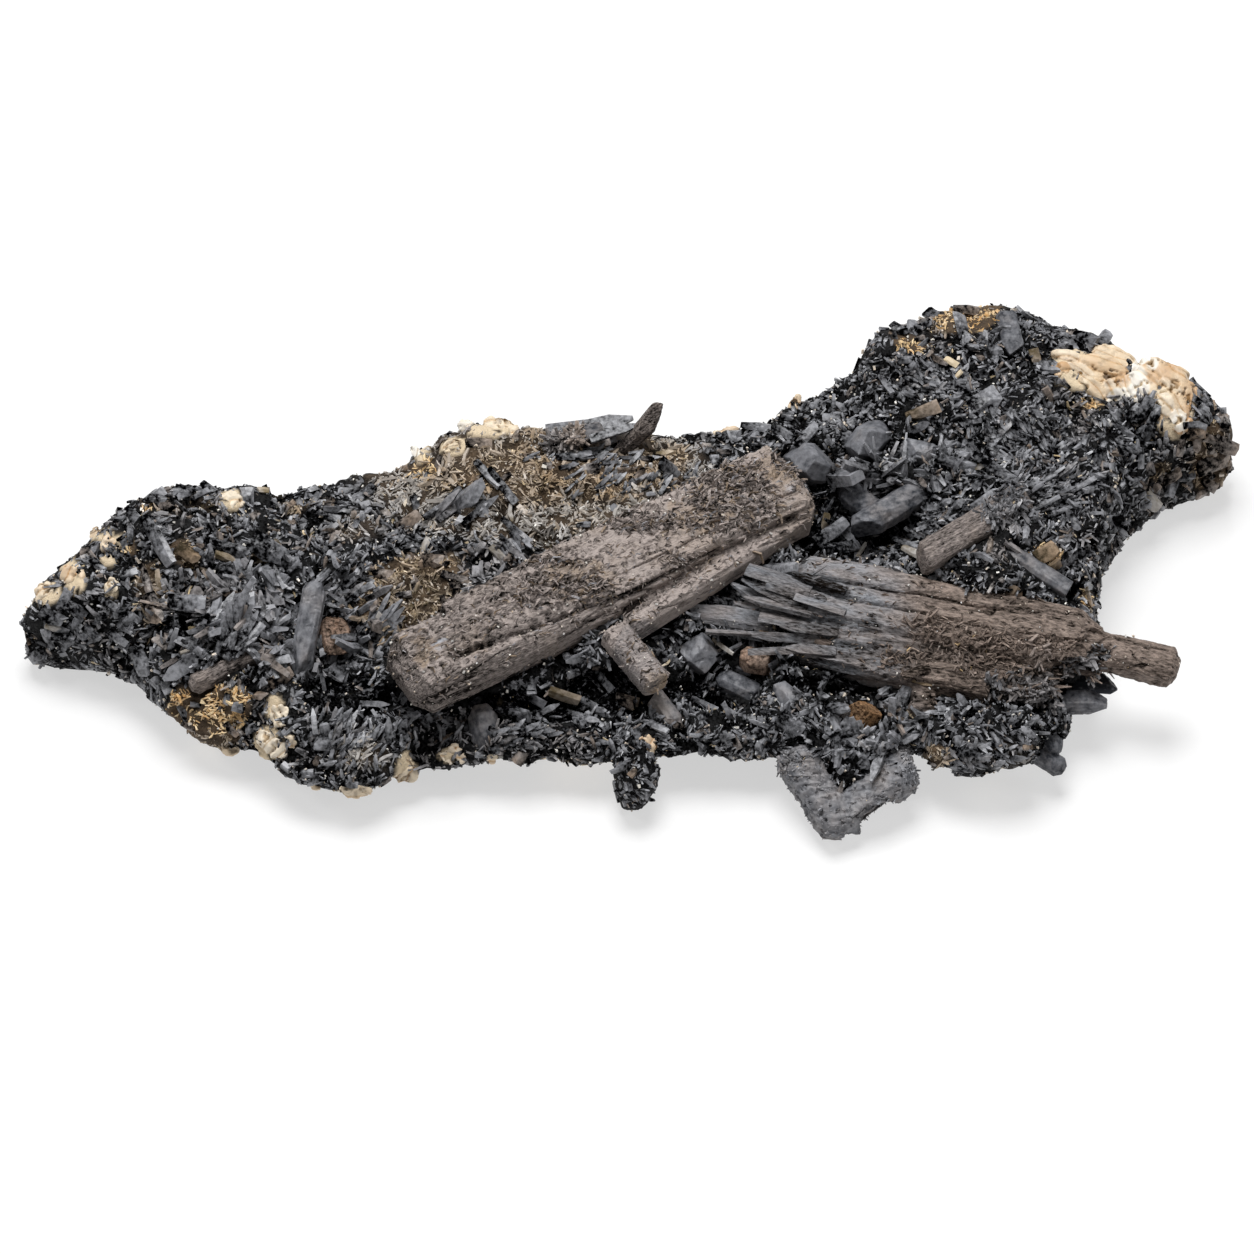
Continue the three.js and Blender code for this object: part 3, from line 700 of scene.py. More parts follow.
def make_long_prism():
    """The long prism: planks along it, worm-like relief and pits on top, crevices and a darker stub."""
    mesh = remeshed("long_prism", PRISM_NET)
    points, normals = read(mesh), read(mesh, "normal")
    pixels = pixels_of(points)
    facing = smoothstep(0.0, 0.3, normals @ TO_CAMERA)
    top = smoothstep(0.6, 0.85, normals[:, 2])
    lengthwise = drawn_out(points, PRISM_AXIS, 8)
    wormy = warped(points, 0.4, 0.9, (57, 58, 59))
    steps = 0.12 * noise(lengthwise, 2.4, 60) + 0.06 * noise(points, 1.6, 61, 2)
    striae = 0.05 * noise(lengthwise, 0.3, 62, 2)
    striae = striae - 0.16 * smoothstep(0.8, 0.97, ridges(lengthwise, 1.1, 63, 2))
    worms = 0.15 * smoothstep(0.2, 0.8, ridges(drawn_out(wormy, PRISM_AXIS, 1.5), 0.55, 64))
    worms = worms + 0.1 * noise(points, 0.35, 65)
    pits = -0.24 * smoothstep(0.3, 0.6, noise(drawn_out(wormy, PRISM_AXIS, 2), 0.7, 66, 2))
    stub = within(STUB, pixels, 0)
    rough = (top * (worms + pits) + (1 - 0.75 * top) * striae) * (1 - 0.75 * stub)
    ledge = np.interp(pixels[:, 0], LEDGE_U, LEDGE_V) - pixels[:, 1] + 3 * noise(points, 1.2, 55, 2)
    upper = smoothstep(-1, 1, ledge) * smoothstep(453, 455, pixels[:, 0] + 2 * noise(points, 0.8, 54, 2))
    upper = upper * top
    grooves = 0
    for line, width, depth in PRISM_GROOVES:
        ragged = width * (1 + 0.6 * noise(points, 1.0, 67, 2))
        grooves = grooves - depth * np.exp(-(line_distance(pixels, line) / ragged) ** 2) * facing
    write(mesh, points + normals * (steps + rough + grooves + 0.35 * upper)[:, None])
    # Painted light and shade: lighter on top and on raised worms, darker in pits, grooves and the furrows of
    # the striae. Lighter also towards the east end and below the ledge.
    light = 0.44 + 0.18 * noise(lengthwise, 0.25, 68, 3) + 2.6 * rough + 1.1 * grooves
    light = light - 0.18 + 0.17 * top + 0.66 * smoothstep(430, 720, pixels[:, 0])
    light = light + 0.1 * smoothstep(0.0, -6, ledge)
    rusty = within(STUB_RUST, pixels, 0.4 * noise(points, 0.8, 91)) * facing
    streaks = smoothstep(-0.2, 0.5, noise(lengthwise, 0.3, 69, 2))
    # Painted sheen: streaky bluish pale along two edges that face the camera.
    painted_sheen = within(PRISM_PAINTED_SHEEN, pixels, 0.3 * noise(points, 0.8, 53)) * facing * streaks
    tinted = within(PRISM_TINTED, pixels, 0.5 * noise(points, 1.2, 92, 2))
    stain = 0.3 * smoothstep(0, 0.5, noise(points, 4, 56, 2)) + rusty + 0.7 * tinted
    paint(mesh, light - 0.48 * stub, stain, 0.8 * painted_sheen + 0.1 * stub)
    return finish_piece(mesh, "long_prism_crystal", BROWN, "brown_prism", "long_prism", edge=CREASE)


BUNDLE_NET = 0.155
BUNDLE_AXIS = unit(np.array([31.4, -6.8, -0.8]))
# Patches of the bundle, in the picture: what the crust has grown over, and where curls lie.
BUNDLE_OVERGROWN = [(1042, 692, 50, 22, 1.1), (1075, 668, 26, 14, 0.9), (1098, 655, 16, 10, 0.7)]
BUNDLE_CURLS = [
    (985, 652, 60, 26, 1.0), (930, 628, 40, 14, 0.7), (905, 660, 40, 16, 0.6), (1050, 650, 40, 14, 0.7),
]


def make_bundle():
    """The core of the bundle: coarse fibres with splits between them, pointed at its west end."""
    mesh = remeshed("fibrous_bundle", BUNDLE_NET)
    points, normals = read(mesh), read(mesh, "normal")
    pixels = pixels_of(points)
    lengthwise = drawn_out(warped(points, 0.5, 5, (70, 71, 72), 2), BUNDLE_AXIS, 14)
    fibres = 0.26 * noise(lengthwise, 1.7, 73, 2) + 0.07 * noise(lengthwise, 0.45, 74, 2)
    splits = -0.35 * smoothstep(0.6, 0.95, ridges(lengthwise, 1.9, 75))
    wormy = warped(points, 0.4, 0.9, (48, 49, 50))
    worms = 0.1 * smoothstep(0.2, 0.8, ridges(drawn_out(wormy, BUNDLE_AXIS, 6), 0.5, 47))
    pits = -0.3 * smoothstep(0.4, 0.6, noise(drawn_out(wormy, BUNDLE_AXIS, 2), 0.8, 46, 2))
    pitted = smoothstep(860, 950, pixels[:, 0]) * smoothstep(1110, 1060, pixels[:, 0])
    rough = 0.06 * noise(points, 0.35, 76, 2) + worms + (0.3 + 0.7 * pitted) * pits
    slim = 1 - 0.6 * smoothstep(1100, 1130, pixels[:, 0])
    low_side = smoothstep(612, 628, pixels[:, 1])
    pointed = smoothstep(870, 785, pixels[:, 0]) * smoothstep(775, 790, pixels[:, 0])
    pointed = pointed * (0.5 + 0.8 * low_side)
    sunk = within(BUNDLE_OVERGROWN, pixels, 0.3 * noise(points, 1.5, 93, 2))
    write(mesh, points + normals * ((fibres + splits) * slim + rough - pointed - 0.8 * sunk)[:, None])
    bluish = smoothstep(940, 850, pixels[:, 0] + 40 * noise(points, 3, 77, 2))
    # Painted light and shade: lighter on the crests of the fibres, darker in the splits and pits and on the
    # low side of the west end.
    light = 0.42 + 0.7 * (fibres + splits) + 2.0 * (worms + pits) + 0.25 * noise(lengthwise, 0.22, 78, 3)
    light = light + 0.23 * bluish - 0.3 * low_side * smoothstep(860, 800, pixels[:, 0]) - 0.3 * sunk
    paint(mesh, light, bluish, 0)
    return finish_piece(mesh, "fibrous_bundle_core", FIBROUS, "brown_prism", "fibrous_bundle", edge=CREASE)


prism = make_long_prism()
bundle = make_bundle()
SHAPES += [prism, bundle]

# ---- Small blades and laths ------------------------------------------------------------------


def column(sides):
    """A straight column of some sides from x = 0 to 1, half a unit in radius."""
    form = bmesh.new()
    turn = Matrix.Rotation(math.pi / 2, 4, "Y")
    bmesh.ops.create_cone(form, cap_ends=True, segments=sides, radius1=0.5, radius2=0.5, depth=1, matrix=turn)
    bmesh.ops.translate(form, verts=form.verts, vec=(0.5, 0, 0))
    return form


def block():
    """A block from x = 0 to 1, one wide and one thick."""
    form = bmesh.new()
    bmesh.ops.create_cube(form, size=1)
    bmesh.ops.translate(form, verts=form.verts, vec=(0.5, 0, 0))
    return form


def blade_form(form, tip_width, tip_thickness, shoulder=None):
    """A unit blade that narrows to its tip, from its shoulder if it has one, as arrays."""
    if shoulder:
        cut_through(form, (shoulder, 0, 0), (1, 0, 0), False)
    for vert in form.verts:
        if vert.co.x > 0.99:
            vert.co.y *= tip_width
            vert.co.z *= tip_thickness
    return arrays_of(form)


def bent_form(bend):
    """A unit blade of three sides, bowed sideways and up at its middle and narrowed to its tip."""
    ring = np.array([(-0.5, -0.3), (0.5, -0.3), (0.0, 0.7)])
    stations = [(0.0, 0.9, 0, 0), (0.5, 1.0, bend, 0.5), (1.0, 0.65, -bend, 0.2)]
    points = np.array([
        (x, y * size + side, z * size + up) for x, size, side, up in stations for y, z in ring
    ])
    faces = [(0, 1, 2), (8, 7, 6)]
    for near in (0, 3):
        for one, two in ((0, 1), (1, 2), (2, 0)):
            faces += [(near + two, near + one, near + one + 3), (near + two, near + one + 3, near + two + 3)]
    return points, np.array(faces)


def shard_form(seed, sides, cuts):
    """A unit crystal of a few sides with a broken, many-faced tip and a rough root, as arrays."""
    form = column(sides)
    generator = np.random.default_rng(seed)
    for _ in range(cuts):
        facing = unit(np.array([generator.choice([-0.5, 1.0]), *generator.normal(size=2)]))
        cut_through(form, (0.5, 0, 0) + facing * (0.42 if facing[0] > 0 else 0.36), facing, True)
    return arrays_of(form)


def arrays_of(form):
    """A finished form as arrays of places and of triangles. Uses the form up."""
    bmesh.ops.triangulate(form, faces=form.faces)
    bmesh.ops.recalc_face_normals(form, faces=form.faces)
    form.verts.index_update()
    points = np.array([vert.co for vert in form.verts])
    faces = np.array([[vert.index for vert in face.verts] for face in form.faces])
    form.free()
    return points, faces


NEEDLE = blade_form(block(), 0.6, 0.6)
CHIP = blade_form(block(), 0.7, 0.8)
CURL = bent_form(0.22)
WORM = bent_form(0.8)
LATH = blade_form(block(), 0.25, 0.5, shoulder=0.72)
SPIKE = blade_form(column(3), 0.3, 0.5)
SHARDS = [shard_form(seed, sides, cuts) for seed, sides, cuts in
          [(1, 6, 3), (2, 5, 4), (3, 6, 5), (4, 7, 4), (5, 4, 5), (6, 6, 4)]]
ROOT_SHADE = 0.9  # painted shade and light: how much darker a blade is painted at its root than at its tip
EVEN_SHARE = 0.65  # the share of its length at which it has its own lightness
OFF_THE_FLOOR = 0.05
BARE_BELOW = 1.0  # mm above the floor
LARGEST_PIECE = 190000  # triangles


def joined(name, form, rows, material, slot, root_shade=ROOT_SHADE):
    """Many copies of one form as one piece. rows holds arrays: places, directions, ups, sizes, shares."""
    points, faces = form
    at, along, up, sizes, shares = rows
    along = unit(along)
    side = unit(np.cross(up, along))
    up = np.cross(along, side)
    placed = at[:, None, :]
    for axis, way in enumerate((along, side, up)):
        placed = placed + points[None, :, axis : axis + 1] * (way * sizes[:, axis : axis + 1])[:, None, :]
    clear = placed[:, :, 2].min(1) > OFF_THE_FLOOR
    placed, shares = placed[clear], shares[clear]
    count = len(placed)
    corners = (faces[None, :, :] + np.arange(count)[:, None, None] * len(points)).reshape(-1, 3)
    mesh = mesh_of(name, placed.reshape(-1, 3), corners)
    light, stain, pale = (np.repeat(shares[:, n], len(points)) for n in range(3))
    # Painted shade at the root of each blade and painted light at its tip.
    painted_root_shade_and_tip_light = np.tile(root_shade * (points[:, 0] - EVEN_SHARE), count)
    paint(mesh, light + painted_root_shade_and_tip_light, stain, pale)
    place_piece(mesh, material, slot)


def samples_on(mesh, count, hidden):
    """Random places on a mesh with their normals; hidden is how thick they lie out of sight. None lie on
    what faces down close to the floor."""
    corners = read(mesh)[triangles_of(mesh)]
    cross = np.cross(corners[:, 1] - corners[:, 0], corners[:, 2] - corners[:, 0])
    area = np.linalg.norm(cross, axis=1)
    facing = np.maximum(unit(cross) @ TO_CAMERA, unit(cross)[:, 2])
    weight = area * (hidden + (1 - hidden) * smoothstep(-0.2, 0.4, facing))
    weight *= np.where((facing < 0) & (corners[:, :, 2].max(1) < BARE_BELOW), 0, 1)
    chosen = random.choice(len(area), count, p=weight / weight.sum())
    mix = random.dirichlet((1, 1, 1), count)
    return (corners[chosen] * mix[:, :, None]).sum(1), unit(cross)[chosen]


def tangents(normals, angles):
    """Directions in the surface that the camera sees at these angles, counted from picture right."""
    flat = np.outer(np.cos(angles), PICTURE_RIGHT) + np.outer(np.sin(angles), PICTURE_UP)
    toward = normals @ TO_CAMERA
    toward = np.where(np.abs(toward) < 0.25, np.copysign(0.25, toward), toward)
    return unit(flat - ((flat * normals).sum(1) / toward)[:, None] * TO_CAMERA)


def covered(places, before):
    """Which places lie under one of the large crystals, or that many mm before it as the camera sees it."""
    lift, away = Vector((0, 0, 1)), -Vector(TO_CAMERA)
    found = np.zeros(len(places), bool)
    for mesh in SHAPES:
        corner, tree = read(mesh), tree_of(mesh)
        low, high = corner.min(0) - (0.2, 0.2 + before, 0), corner.max(0) + 0.2
        near = np.all((places[:, :2] > low[:2]) & (places[:, :2] < high[:2]), axis=1)
        for index in np.nonzero(near & ~found)[0]:
            place = Vector(places[index])
            under = tree.ray_cast(place + 0.01 * lift, lift, 2.2)[0] is not None
            found[index] = under or tree.ray_cast(place, away, before)[0] is not None
    return found


def past_outline(places):
    """Which places the camera sees beside the rock, beyond its outline."""
    return np.array([GROUND.ray_cast(Vector(EYE), Vector(way))[0] is None for way in places - EYE])


BROAD_BLADES = 58000  # tried on the whole rock
FINE_BLADES = 78000  # tried, and kept on golden, brown and pale ground only
TUFT_SEEDS = 2000
BLADE_LENGTH = 0.84  # mm
BLADE_WIDTH = 0.21  # mm
# Name, form, stretch along, across and through, and share of the blades.
DRUSE_FORMS = [
    ("needles", NEEDLE, (1, 1, 1), 0.2),
    ("laths", LATH, (1.2, 1.2, 1), 0.1),
    ("chips", CHIP, (0.7, 1.6, 1.1), 0.22),
    ("spikes", SPIKE, (1, 1.2, 1.2), 0.18),
    ("curls", CURL, (1.3, 1.1, 0.9), 0.3),
]
CHIPS, CURLS = 2, 4  # their places in the list


def fine_share(ground):
    """How golden, brown or pale the ground is: the blades are fine there."""
    return np.maximum.reduce([ground.gold, ground.brown, ground.pale])


def druse_places():
    """Where the blades of the druse grow, with their normals, the ground and its relief there."""
    places, normals = samples_on(rock, BROAD_BLADES, 0.28)
    finer, finer_normals = samples_on(rock, FINE_BLADES, 0.1)
    keep = fine_share(kinds_of_ground(finer, finer_normals)) > 0.3 + 0.7 * random.random(len(finer))
    places = np.concatenate([places, finer[keep]])
    normals = np.concatenate([normals, finer_normals[keep]])
    places, normals = picked(~covered(places, 0.8), places, normals)
    ground = kinds_of_ground(places, normals)
    relief = relief_of(places)
    bare = 0.93 * ground.cream + 0.4 * ground.hollow + 0.3 * ground.coarse + 0.6 * ground.blocky
    bare = bare + 0.5 * smoothstep(-0.3, -0.8, relief) * (1 - fine_share(ground))
    keep = random.random(len(places)) > bare
    return *picked(keep, places, normals), Ground(*picked(keep, *ground)), relief[keep]


def tuft_ways(places, normals):
    """Directions of the blades in the surface, and how far in mm each is lifted. The blades round one seed
    lie side by side or, in every other tuft, spread out from it."""
    seeds = places[random.choice(len(places), TUFT_SEEDS)]
    lean = unit(scattered(TUFT_SEEDS))
    lifted = random.uniform(-0.05, 0.22, TUFT_SEEDS)
    nearest = np.concatenate([
        ((chunk[:, None, :] - seeds[None]) ** 2).sum(2).argmin(1) for chunk in np.array_split(places, 40)
    ])
    outward = unit(places - seeds[nearest])
    along = np.where((nearest % 2 == 0)[:, None], lean[nearest], outward) + 0.45 * scattered(len(places))
    return unit(flattened(along, normals)), lifted[nearest]


def blade_sizes(places, along, ground, rim):
    """Length, width and thickness of each blade in mm: fine on tinted ground, short along the outline."""
    count = len(places)
    tinted = np.maximum(ground.brown, ground.gold)
    scale = random.lognormal(0, 0.38, count) * (0.9 + ground.coarse)
    scale = scale * (1 - 0.4 * np.maximum(tinted, 0.7 * ground.pale))
    length = BLADE_LENGTH * scale * (1 - 0.6 * rim)
    width = BLADE_WIDTH * scale * random.uniform(0.6, 1.5, count) * (1 + 0.4 * rim)
    thickness = width * random.uniform(0.4, 0.8, count)
    length = np.where(past_outline(places + unit(along) * length[:, None]), 0.4 * length, length)
    return np.stack([length, width, thickness], 1)


def blade_shares(places, ground, relief):
    """How light, stained and pale each blade is, and which blades are the small ones with a painted glint."""
    count = len(places)
    # Painted light and shade: blades lying low in the relief and those in hollows are painted darker, raised
    # ones lighter, and in hollows they are less stained.
    light = 0.14 + 0.78 * random.beta(1.6, 2.2, count) + 0.14 * noise(places, 3.0, 51, 2) + 0.55 * relief
    light = light + 1.15 * ground.pale + 1.1 * ground.gold + 0.35 * ground.brown - 1.05 * ground.hollow
    warm = smoothstep(0.1, 0.6, noise(places, 4.5, 52, 2))
    speck = random.random(count)
    tinted = np.maximum(ground.brown, ground.gold)
    stain = np.clip(0.9 * tinted + 0.3 * warm + 0.6 * (speck > 0.93), 0, 1) * (1 - 0.6 * ground.hollow)
    # Painted glints: a few blades, many more on golden and brown ground, are painted pale. On pale and brown
    # ground all blades are also a little paler, as their own tone.
    shiny = speck < 0.025 + 0.7 * ground.gold + 0.2 * ground.brown + 0.1 * ground.pale
    glint_and_pale_tone = np.where(shiny, random.uniform(0.15, 0.75, count), 0)
    glint_and_pale_tone = np.maximum(glint_and_pale_tone, 0.16 * np.maximum(ground.pale, ground.brown))
    return np.stack([light, stain, glint_and_pale_tone], 1), shiny & (ground.gold < 0.3)


def blade_kinds(ground, rim):
    """The form of each blade: chips along the outline, and curls for chips where the blades are fine."""
    kinds = random.choice(len(DRUSE_FORMS), len(rim), p=[form[3] for form in DRUSE_FORMS])
    kinds[(rim > 0.3) & (kinds != CURLS)] = CHIPS
    kinds[(kinds == CHIPS) & (fine_share(ground) > 0.5)] = CURLS
    return kinds


def make_druse():
    """The small blades of the crust, in tufts."""
    places, normals, ground, relief = druse_places()
    count = len(places)
    rim = rim_share(normals)
    along, lifted = tuft_ways(places, normals)
    upright = random.random(count) < 0.04 + 0.1 * ground.coarse
    rise = np.where(upright, random.uniform(0.2, 0.7, count), random.uniform(-0.15, 0.2, count))
    along = along + normals * (rise * (1 - 0.9 * rim))[:, None]
    up = normals + 0.35 * scattered(count)
    sizes = blade_sizes(places, along, ground, rim)
    shares, glinting = blade_shares(places, ground, relief)
    sizes[glinting] *= 0.5
    at = places + normals * (lifted * (1 - rim) - 0.12 - 0.08 * rim)[:, None]
    kinds = blade_kinds(ground, rim)
    golden = ground.gold > 0.4
    joined("druse_golden", CURL, picked(golden, at, along, up, sizes, shares), OCHRE, "crust")
    for kind, (name, form, stretch, _) in enumerate(DRUSE_FORMS):
        chosen = (kinds == kind) & ~golden
        rows = picked(chosen, at, along, up, sizes * stretch, shares)
        pieces = math.ceil(chosen.sum() * len(form[1]) / LARGEST_PIECE)
        for part in range(pieces):
            joined(f"druse_{name}_{part + 1}", form, [v[part::pieces] for v in rows], CRUST, "crust")


# What the glints lie on, how many are tried, their usual size in mm and their slot.
GLINTS = [
    ("crust", rock, 2200, 0.2, "crust"),
    ("prism", prism, 340, 0.14, "brown_prism"),
    ("bundle", bundle, 200, 0.14, "brown_prism"),
]


def make_glints(name, mesh, count, usual, slot):
    """Tiny pale grains, and white chips that are painted glints where facets catch the light."""
    places, normals = samples_on(mesh, count, 0.1)
    ground = kinds_of_ground(places, normals)
    keep = random.random(count) > 0.8 * np.maximum(ground.cream, ground.hollow)
    places, normals = picked(keep, places, normals)
    count = len(places)
    along = unit(scattered(count))
    size = usual * random.lognormal(0, 0.35, count)
    sizes = np.stack([size, 0.7 * size, 0.6 * size], 1)
    golden = random.random(count) < 0.45
    glint_and_pale_tone = np.where(golden, 0.55, random.uniform(0.2, 1, count))
    at = places + 0.16 * normals - along * size[:, None] / 2
    shares = np.stack([np.ones(count), golden, glint_and_pale_tone], 1)
    joined("glints_" + name, CHIP, (at, along, unit(scattered(count)), sizes, shares), GLINT, slot)


CHUNKS = 4200  # tried


def make_chunks():
    """Blocky crystals a few times larger than the blades, half sunk among them."""
    places, normals = samples_on(rock, CHUNKS, 0.5)
    places, normals = picked(~covered(places, 3.0), places, normals)
    ground = kinds_of_ground(places, normals)
    chance = (0.34 + 0.6 * ground.blocky) * (1 - 0.95 * ground.cream) * (1 - 0.5 * ground.hollow)
    keep = random.random(len(places)) < chance * (1 - 0.6 * ground.pale)
    places, normals = picked(keep, places, normals)
    ground = Ground(*picked(keep, *ground))
    count = len(places)
    along = unit(scattered(count))
    along = unit(flattened(along, normals, 0.85))
    scale = random.lognormal(0, 0.3, count) * (0.85 + 0.35 * ground.coarse + 0.25 * ground.blocky)
    scale = scale * (1 - 0.15 * rim_share(normals))
    sizes = scale[:, None] * np.stack([
        random.uniform(1.1, 2.2, count), random.uniform(0.6, 1.2, count), random.uniform(0.45, 0.8, count)
    ], 1)
    # Chunks in hollows are painted darker, as shade.
    light = 0.17 + 0.5 * random.beta(2, 2, count) - 0.3 * ground.hollow
    stain = np.where(random.random(count) < 0.12 + ground.brown, random.uniform(0.4, 1, count), 0)
    shares = np.stack([light, stain, np.where(random.random(count) < 0.01, 0.3, 0)], 1)
    half = along * sizes[:, :1] / 2
    sizes[past_outline(places + half) | past_outline(places - half)] *= 0.55
    at = places - along * sizes[:, :1] / 2 + normals * (0.05 + 0.1 * random.random(count))[:, None]
    up = normals + 0.3 * scattered(count)
    for number, form in enumerate(SHARDS):
        rows = [value[number :: len(SHARDS)] for value in (at, along, up, sizes, shares)]
        joined(f"druse_chunks_{number + 1}", form, rows, CRUST, "crust")


make_druse()
make_chunks()
for glints in GLINTS:
    make_glints(*glints)

PRISM_CURLS = 19000  # tried


def make_prism_curls():
    """Worm-like curls on the prism's upper face."""
    places, normals = samples_on(prism, PRISM_CURLS, 0.1)
    dense = within(PRISM_TUFTS, pixels_of(places), 0.3 * noise(places, 1.5, 80, 2))
    keep = (normals[:, 2] > 0.55) & (random.random(len(places)) < 0.22 + 0.6 * dense)
    places, normals, dense = picked(keep, places, normals, dense)
    count = len(places)
    along = PRISM_AXIS + 0.9 * scattered(count)
    along = unit(flattened(along, normals)) + 0.1 * normals
    scale = random.lognormal(0, 0.3, count) * (0.7 + 0.3 * dense)
    sizes = np.stack([0.8 * scale, 0.17 * scale, 0.14 * scale], 1)
    light = 0.83 + 0.35 * random.normal(size=count) - 0.1 * dense
    speck = random.random(count)
    shares = np.stack([light, np.where(speck > 0.85, 1, 0), np.where(speck < 0.04, 0.5, 0)], 1)
    rows = (places - 0.06 * normals, along, normals + 0.3 * scattered(count), sizes, shares)
    joined("prism_curls", WORM, rows, BROWN, "brown_prism")


make_prism_curls()


def overgrow(name, form, mesh, material, slot, count, size, light, stain, lean=0, lift=0.1,
             patches=EVERYWHERE):
    """Fine blades that overgrow a crystal and hide its faces. lean draws them towards the length of the
    crystal, lift raises their tips, and patches, in the picture, are where they grow."""
    places, normals = samples_on(mesh, count, 0.3)
    grown = within(patches, pixels_of(places), 0.3 * noise(places, 1.5, 89, 2))
    rim = rim_share(normals, 0.75, 0.3)
    keep = random.random(count) < grown * (1 - 0.96 * rim)
    places, normals, rim = picked(keep, places, normals, rim)
    count = len(places)
    along = scattered(count) + lean * main_axis(read(mesh))
    along = unit(flattened(along, normals)) + lift * normals
    scale = size * random.lognormal(0, 0.3, count) * (1 - 0.6 * rim)
    sizes = np.stack([scale, 0.3 * scale, 0.22 * scale], 1)
    blotches = noise(places, 2.5, 90, 2)
    lights = light + 0.12 * random.normal(size=count) + 0.15 * blotches
    speck = np.where(random.random(count) < 0.03, random.uniform(0.3, 0.9, count), 0)
    sizes[speck > 0] *= 0.6
    shares = np.stack([lights, stain + 0.4 * blotches, speck], 1)
    up = normals + 0.3 * scattered(count)
    joined(name, form, (places - 0.1 * normals, along, up, sizes, shares), material, slot)


# After the slot: blades tried, their usual length in mm, lightness and stain.
twin = bpy.data.meshes["elbow_twin_crystal"]
rod = bpy.data.meshes["leaning_rod_crystal"]
lying_blade = bpy.data.meshes["lying_blade_crystal"]
overgrow("twin_fuzz", CURL, twin, CRUST, "grey_crystal", 4200, 0.34, 0.84, 0.12, lift=-0.12)
overgrow("twin_crust", CHIP, twin, CRUST, "grey_crystal", 9000, 0.5, 0.55, 0.1, lift=-0.1,
         patches=[(784, 758, 26, 18, 1.0), (926, 768, 30, 24, 1.0)])
overgrow("blade_crust", CHIP, lying_blade, CRUST, "grey_crystal", 3600, 0.7, 0.5, 0.6,
         patches=[(556, 440, 26, 20, 1.1)])
overgrow("rod_crust", CURL, rod, CRUST, "grey_crystal", 2600, 0.8, 0.5, 0.1,
         patches=[(1035, 490, 52, 50, 1.2)])
overgrow("bundle_fuzz", CURL, bundle, FIBROUS, "brown_prism", 2600, 0.45, 0.5, 0.0, lean=1.6,
         patches=[(930, 625, 190, 90, 1.2)])
overgrow("bundle_curls", WORM, bundle, FIBROUS, "brown_prism", 11000, 0.8, 0.7, 0.0, patches=BUNDLE_CURLS)
overgrow("bundle_crust", CURL, bundle, CRUST, "brown_prism", 13000, 0.9, 0.55, 0.2, patches=BUNDLE_OVERGROWN)

SPLINTERS = 260  # tried


def make_splinters():
    """Splinters side by side along the fibrous bundle, towards its two ends."""
    places, normals = samples_on(bundle, SPLINTERS, 0.5)
    across = pixels_of(places)[:, 0]
    ends = np.abs(across - 950) / 100 + 0.5 * random.normal(size=len(places))
    keep = (ends > 1) & (across > 775) & (across < 1115)
    places, normals, across = picked(keep, places, normals, across)
    count = len(places)
    along = flattened(BUNDLE_AXIS + scattered(count) * (0.04, 0.05, 0.04), normals)
    slim = 1 - 0.45 * smoothstep(1050, 1120, across)
    length = random.uniform(2, 6, count) * slim
    width = random.uniform(0.15, 0.45, count) * slim
    sizes = np.stack([length, width, width * random.uniform(0.4, 0.7, count)], 1)
    bluish = smoothstep(930, 850, across + 30 * random.normal(size=count))
    light = 0.45 + 0.22 * random.normal(size=count)
    shares = np.stack([light, bluish, np.where(random.random(count) < 0.01, 0.3, 0)], 1)
    at = places - along * (length / 2)[:, None] - 0.16 * normals
    joined("bundle_splinters", LATH, (at, along, normals + 0.3 * scattered(count), sizes, shares), FIBROUS,
           "brown_prism")


make_splinters()

# Blades laid one by one on a shape: picture pixels of the root and of the tip, and width in mm. These
# stand out of the west end of the bundle.
FAN = [
    (784, 624, 690, 610, 2.3), (800, 622, 732, 584, 1.3), (812, 590, 748, 569, 2.4),
    (806, 612, 742, 580, 1.0), (792, 636, 706, 632, 1.8), (812, 614, 744, 598, 1.2),
    (826, 602, 768, 582, 1.8), (820, 640, 752, 636, 0.9), (818, 628, 760, 616, 1.7),
    (846, 592, 792, 573, 1.1), (812, 650, 748, 652, 1.1), (838, 632, 780, 626, 1.2),
    (846, 612, 796, 596, 1.6), (836, 652, 786, 648, 1.0),
]
# Laths of the bundle that stand out along its front and its east end.
BUNDLE_LATHS = [
    (988, 694, 934, 680, 1.2), (1079, 674, 1040, 655, 0.9), (1096, 666, 1062, 649, 0.9),
    (1106, 654, 1058, 638, 0.9), (1110, 644, 1066, 634, 0.7), (1012, 690, 972, 680, 0.8),
    (930, 668, 902, 676, 1.3), (830, 646, 808, 633, 1.2), (1030, 640, 985, 622, 0.8),
    (960, 668, 925, 664, 0.7), (1092, 676, 1056, 664, 0.7),
]
# Layers of the lying blade.
OVER_BLADE = [
    (552, 437, 634, 418, 1.7), (548, 446, 614, 430, 1.3), (546, 430, 604, 423, 1.2),
    (576, 446, 628, 427, 1.0), (544, 450, 590, 444, 1.0), (590, 440, 640, 424, 0.9),
    (560, 428, 618, 416, 0.8),
]
# Painted shade at the roots of the blades laid one by one, weaker than on the druse.
LAID_ROOT_SHADE = 0.2


def drawn_between(u0, v0, u1, v1, normal):
    """Direction and length in mm of what the camera sees drawn from one pixel to another on a surface."""
    along = tangents(normal[None], np.array([math.atan2(v0 - v1, u1 - u0)]))[0]
    shown = math.hypot(along @ PICTURE_RIGHT, along @ PICTURE_UP)
    return along, math.hypot(u1 - u0, v1 - v0) / PIXELS_PER_MM / max(shown, 0.5)


